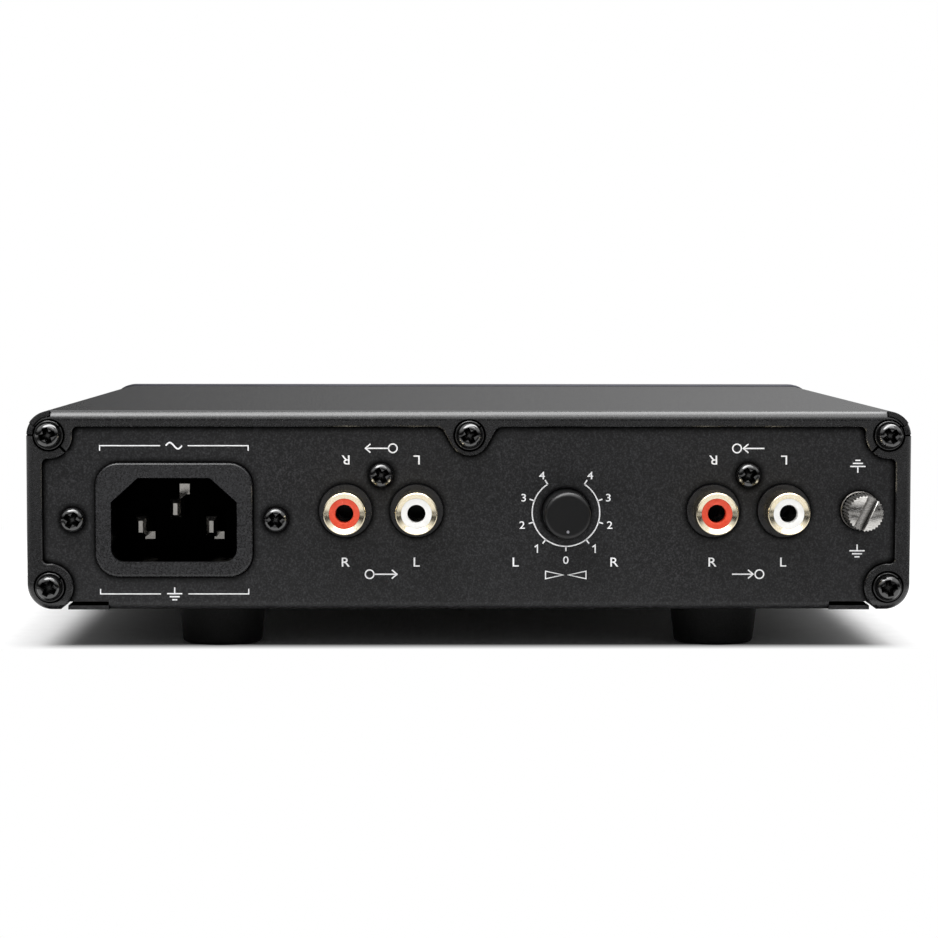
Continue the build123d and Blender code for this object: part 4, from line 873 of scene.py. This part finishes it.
# %% Sleeves and barrels
HOLE = 1.75                # radius for the plug's pin
HOLE_EDGE = ((0.0, 0.25), (0.07, 0.08), (0.24, 0.0))    # out from the hole, back from the face
MOUTH = 3.0                # radius where the cone ends
CONE, LAND = 0.52, 0.2     # depth of the cone, and of the step behind it
RIM_EDGE = ((0.0, 0.3), (0.05, 0.15), (0.15, 0.04), (0.27, 0.0))    # in from the side, back
POCKET, POCKET_FROM = 2.2, 3.0    # radius and start of the room for the contact
SPIGOT = 3.8               # radius of the part inside the block
SLIP = 0.03                # room between sleeve and barrel
for socket in ("output_right", "output_left", "input_right", "input_left"):
    low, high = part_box(socket + "_shell")
    radius = (high.x - low.x) / 2 / MM
    length = (high.y - low.y) / MM
    boss = (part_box(socket.split("_")[0] + "_socket_block")[0].y - low.y) / MM
    sleeve_low, sleeve_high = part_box(socket + "_insulator")
    wall = (sleeve_high.x - sleeve_low.x) / 2 / MM + SLIP
    place = Matrix.Translation(((low.x + high.x) / 2, low.y, (low.z + high.z) / 2))
    place = place @ Matrix.Rotation(-math.pi / 2, 4, "X")
    barrel = [(radius - step, back) for step, back in RIM_EDGE]
    barrel += [(MOUTH, CONE), (MOUTH, CONE + LAND), (wall, CONE + LAND), (wall, length),
               (SPIGOT, length), (SPIGOT, boss), (radius, boss)]
    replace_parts(turned(barrel, socket + "_barrel", "gold_plate", place), socket + "_shell")
    face = CONE + 0.04
    sleeve = [(HOLE + step, face + back) for step, back in HOLE_EDGE]
    sleeve += [(MOUTH - SLIP, face), (MOUTH - SLIP, face + LAND), (wall - SLIP, face + LAND),
               (wall - SLIP, length), (POCKET, length), (POCKET, POCKET_FROM),
               (HOLE, POCKET_FROM)]
    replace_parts(turned(sleeve, socket + "_sleeve", slots[socket + "_insulator"], place),
                socket + "_insulator")

# %% [markdown]
# ## The ring choke, wound by a tree
# The mains choke is a ferrite ring wound with thick enamelled wire. Each turn goes round the ring's
# section while the wire moves on round the ring, so one parameter drives both: a straight line of
# points is bent into place by two angles. A tree does it with one Set Position, and the turns
# follow the ring if its size changes.

# %% Winding tree
POINTS_A_TURN = 16.0
WOUND = 1.9 * math.pi    # the angle of the ring that is wound
tree, given = start_tree("Ring winding", ("Ring radius", "Section across", "Section up", "Wire"),
                         "Turns", "Copper", "Winding")
count = add(tree, "ShaderNodeMath", {0: given["Turns"], 1: POINTS_A_TURN}, operation="MULTIPLY")
line = add(tree, "GeometryNodeCurvePrimitiveLine")
points = add(tree, "GeometryNodeResampleCurve", {"Curve": line, "Count": count})
share = add(tree, "GeometryNodeSplineParameter", output="Factor")
round_ring = add(tree, "ShaderNodeMath", {0: share, 1: WOUND}, operation="MULTIPLY")
turns = add(tree, "ShaderNodeMath", {0: given["Turns"], 1: 2 * math.pi}, operation="MULTIPLY")
round_section = add(tree, "ShaderNodeMath", {0: share, 1: turns}, operation="MULTIPLY")


def trig(angle, operation, size):
    """Sine or cosine of an angle, times a size."""
    wave = add(tree, "ShaderNodeMath", {0: angle}, operation=operation)
    return add(tree, "ShaderNodeMath", {0: wave, 1: size}, operation="MULTIPLY")


outward = add(tree, "ShaderNodeMath", {
    0: trig(round_section, "COSINE", given["Section across"]), 1: given["Ring radius"]},
    operation="ADD")
bent = add(tree, "ShaderNodeCombineXYZ", {
    "X": trig(round_ring, "COSINE", outward), "Y": trig(round_ring, "SINE", outward),
    "Z": trig(round_section, "SINE", given["Section up"])})
coil = add(tree, "GeometryNodeSetPosition", {"Geometry": points, "Position": bent})
wire = add(tree, "GeometryNodeCurvePrimitiveCircle", {"Resolution": 8, "Radius": given["Wire"]})
tube = add(tree, "GeometryNodeCurveToMesh", {
    "Curve": coil, "Profile Curve": wire, "Fill Caps": True})
end_tree(tree, tube, given["Copper"], "Winding")

# %% Wind the choke
WIRE = 0.55               # radius
BASE = 1.2                # thickness of the base
RING_IN, RING_OUT = 4.2, 2 * WIRE    # the ferrite's two sides, in from the outline
SECTION_AT, SECTION = 2.25, 2.2      # middle of the wound section, and half its width
low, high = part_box("mains_choke")
centre = (low + high) / 2
base_top = low.z + BASE * MM
outer = (high.x - low.x) / 2 / MM
tall = (high.z - base_top) / MM
winding = grow(tree, {"Ring radius": outer - SECTION_AT - WIRE, "Section across": SECTION,
                      "Section up": tall / 2 - WIRE, "Wire": WIRE, "Turns": 22,
                      "Copper": finishes["choke_wire"]})
lift = Matrix.Translation((centre.x, centre.y, base_top + tall / 2 * MM))
winding.transform(lift @ Matrix.Scale(MM, 4))
as_piece(winding, "choke_winding", finishes["choke_wire"])

# %% Core and base of the choke
inner, rim = outer - RING_IN - WIRE, outer - RING_OUT
bottom, top = 2 * WIRE, tall - 2 * WIRE
turned([(inner, bottom), (rim, bottom), (rim, top), (inner, top)], "choke_core", "ferrite",
       Matrix.Translation((centre.x, centre.y, base_top)))
plate = bmesh.new()
bmesh.ops.create_cube(plate, size=1.0)
mesh = as_mesh(plate, "choke_base")
size = Vector((high.x - low.x, high.y - low.y, base_top - low.z))
place = Matrix.Translation((centre.x, centre.y, (low.z + base_top) / 2))
mesh.transform(place @ Matrix.Diagonal((*size, 1.0)))
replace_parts(as_piece(mesh, "choke_base", finishes["pot_case"]), "mains_choke")

# %% [markdown]
# ## The studio
# A dark, glossy object needs a bright room, because it shows what it mirrors. A wide softbox
# overhead lights the top and draws the bright line along its folded edge, a smaller one in front
# and above lights the panel at a plain level, and the room fills the shadows, more from the right.
# To the camera the room and the far floor are white. In a mirror the room is white overhead, nearly
# black in front, and grows paler from left to right behind the preamp.

# %% Room
DARK = 0.03
WALL_FROM, WALL_TO, WALL = -0.14, 0.26, 0.46    # where the wall grows paler, and how pale
BEHIND_FROM, BEHIND_TO = 0.2, 0.7               # where the front wall gives way to it
CEILING_FROM, CEILING_TO = 0.2, 0.5             # where the ceiling begins
FILL_LEFT, FILL_RIGHT = 0.22, 0.6
world = bpy.data.worlds.new("Studio")
bpy.context.scene.world = world
world.use_nodes = True
tree = world.node_tree
tree.nodes.clear()


def seen_directly(tree):
    """1 for rays from the camera, a mirror or through glass, and 0 for the light in the room."""
    ray = add(tree, "ShaderNodeLightPath", output=None).outputs
    some = add(tree, "ShaderNodeMath", {
        0: ray["Is Camera Ray"], 1: ray["Is Glossy Ray"]}, operation="ADD")
    return add(tree, "ShaderNodeMath", {
        0: some, 1: ray["Is Transmission Ray"]}, operation="ADD", use_clamp=True)


way = add(tree, "ShaderNodeSeparateXYZ", {
    0: add(tree, "ShaderNodeTexCoord", output="Generated")}, output=None).outputs
wall = add(tree, "ShaderNodeMapRange", {
    "Value": way["X"], "From Min": WALL_FROM, "From Max": WALL_TO, "To Max": WALL})
mirrored = add(tree, "ShaderNodeMapRange", {
    "Value": way["Y"], "From Min": BEHIND_FROM, "From Max": BEHIND_TO, "To Min": DARK,
    "To Max": wall})
mirrored = add(tree, "ShaderNodeMapRange", {
    "Value": way["Z"], "From Min": CEILING_FROM, "From Max": CEILING_TO, "To Min": mirrored,
    "To Max": 1.0})
by_camera = add(tree, "ShaderNodeLightPath", output="Is Camera Ray")
fill = add(tree, "ShaderNodeMapRange", {
    "Value": way["X"], "To Min": FILL_LEFT, "To Max": FILL_RIGHT})
level = add(tree, "ShaderNodeMapRange", {
    "Value": seen_directly(tree), "To Min": fill, "To Max": mirrored})
level = add(tree, "ShaderNodeMapRange", {"Value": by_camera, "To Min": level, "To Max": 1.0})
room = add(tree, "ShaderNodeBackground", {"Color": linear("#ffffff"), "Strength": level})
add(tree, "ShaderNodeOutputWorld", {"Surface": room})
print("room fills shadows with", FILL_LEFT, "to", FILL_RIGHT)

# %% [markdown]
# ## The floor
# The floor is white paper that keeps the soft shadow under the case. Away from the case, and in
# front of it, the camera sees it plain white. A mirror sees a painted glow, not the lit paper:
# painted shade under the case, a painted bright band close round it, darker further out, and bright
# again far away, which sets how pale a glossy form is on its lower side.

# %% Floor
FLOOR_HALF, FLOOR_Z = 4.0, -0.0002             # metres
PLAIN_FROM, PLAIN_TO = 120.0, 260.0            # mm from the middle, where the shadow ends
FRONT_FROM, FRONT_TO = -58.0, -66.0            # mm along Y, where it ends in front
PAINTED_SHADE_UNDER = 0.02
PAINTED_MIRROR_GLOW = ((0.0, 5.0, 1.0), (50.0, 90.0, 0.1), (170.0, 330.0, 0.7))    # from, to, level reached
floor_mesh = bpy.data.meshes.new("studio_floor")
floor_mesh.from_pydata([(x * FLOOR_HALF, y * FLOOR_HALF, FLOOR_Z)
                        for x, y in ((-1, -1), (1, -1), (1, 1), (-1, 1))], [], [(0, 1, 2, 3)])
floor = in_scene("studio_floor", floor_mesh)
material, tree, shader, in_mm = start_finish("White paper floor", "#f4f4f4", 0.9,
                                             more={"Specular IOR Level": 0.0})
grain(tree, shader, in_mm, size=4.0, tones=("#f2f2f2", "#f6f6f6"))
distance = add(tree, "ShaderNodeVectorMath", {0: in_mm}, operation="LENGTH", output="Value")
far = add(tree, "ShaderNodeMapRange", {
    "Value": distance, "From Min": PLAIN_FROM, "From Max": PLAIN_TO},
    interpolation_type="SMOOTHSTEP")
by_camera = add(tree, "ShaderNodeLightPath", output="Is Camera Ray")
along = add(tree, "ShaderNodeSeparateXYZ", {0: in_mm}, output="Y")
in_front = add(tree, "ShaderNodeMapRange", {
    "Value": along, "From Min": FRONT_FROM, "From Max": FRONT_TO})
plain = add(tree, "ShaderNodeMath", {0: far, 1: in_front}, operation="MAXIMUM")
share = add(tree, "ShaderNodeMapRange", {
    "Value": by_camera, "To Min": seen_directly(tree), "To Max": plain})

# %% Painted glow of the floor in mirrors
half_case = [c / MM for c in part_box("top_cover")[1]]
beyond = add(tree, "ShaderNodeVectorMath", {0: in_mm}, operation="ABSOLUTE")
beyond = add(tree, "ShaderNodeVectorMath", {
    0: beyond, 1: (half_case[0], half_case[1], 0.0)}, operation="SUBTRACT")
beyond = add(tree, "ShaderNodeSeparateXYZ", {0: beyond}, output=None).outputs
clear = add(tree, "ShaderNodeMath", {0: beyond["X"], 1: beyond["Y"]}, operation="MAXIMUM")
# Mirrors see painted shade under the case and a painted glow round it, not the lit paper
level = PAINTED_SHADE_UNDER
for start, end, reached in PAINTED_MIRROR_GLOW:
    level = add(tree, "ShaderNodeMapRange", {
        "Value": clear, "From Min": start, "From Max": end, "To Min": level, "To Max": reached})
level = add(tree, "ShaderNodeMapRange", {"Value": by_camera, "To Min": level, "To Max": 1.0})
glow = add(tree, "ShaderNodeEmission", {"Color": linear("#ffffff"), "Strength": level})
whole = add(tree, "ShaderNodeMixShader", {"Fac": share, 1: shader.outputs[0], 2: glow})
tree.links.new(whole, tree.nodes["Material Output"].inputs["Surface"])
floor_mesh.materials.append(material)
print("floor", 2 * FLOOR_HALF, "m across")

# %% Softboxes


def softbox(name, place, aim, size, radiance):
    """A rectangular lamp that faces a point. Its power follows its brightness and area."""
    lamp = bpy.data.lights.new(name, "AREA")
    lamp.shape = "RECTANGLE"
    lamp.size, lamp.size_y = size
    lamp.energy = radiance * math.pi * size[0] * size[1]
    holder = in_scene(name, lamp)
    holder.location = place
    holder.rotation_mode = "QUATERNION"
    holder.rotation_quaternion = (Vector(aim) - Vector(place)).to_track_quat("-Z", "Y")
    print(name, round(lamp.energy, 2), "W")


softbox("top_softbox", (0.02, -0.04, 0.72), (0.0, -0.02, 0.03), (1.4, 0.42), 5.8)
softbox("front_softbox", (0.0, -0.45, 0.72), (0.0, -0.07, 0.03), (0.9, 0.45), 2.5)

# %% [markdown]
# ## The camera
# The panel is seen from a little above and left of its middle, about half a metre away, with a
# long lens that keeps its edges straight.

# %% Camera
camera = bpy.data.cameras.new("camera")
camera.lens = 105.4
camera.sensor_width = 36.0
camera.clip_start = 0.01
viewer = in_scene("camera", camera)
viewer.location = (-0.00635, -0.6138, 0.0704)
viewer.rotation_euler = (math.radians(86.41), math.radians(-0.06), math.radians(-0.66))
bpy.context.scene.camera = viewer
bpy.context.scene.view_settings.view_transform = "Standard"
print("camera", round(camera.lens, 1), "mm lens")
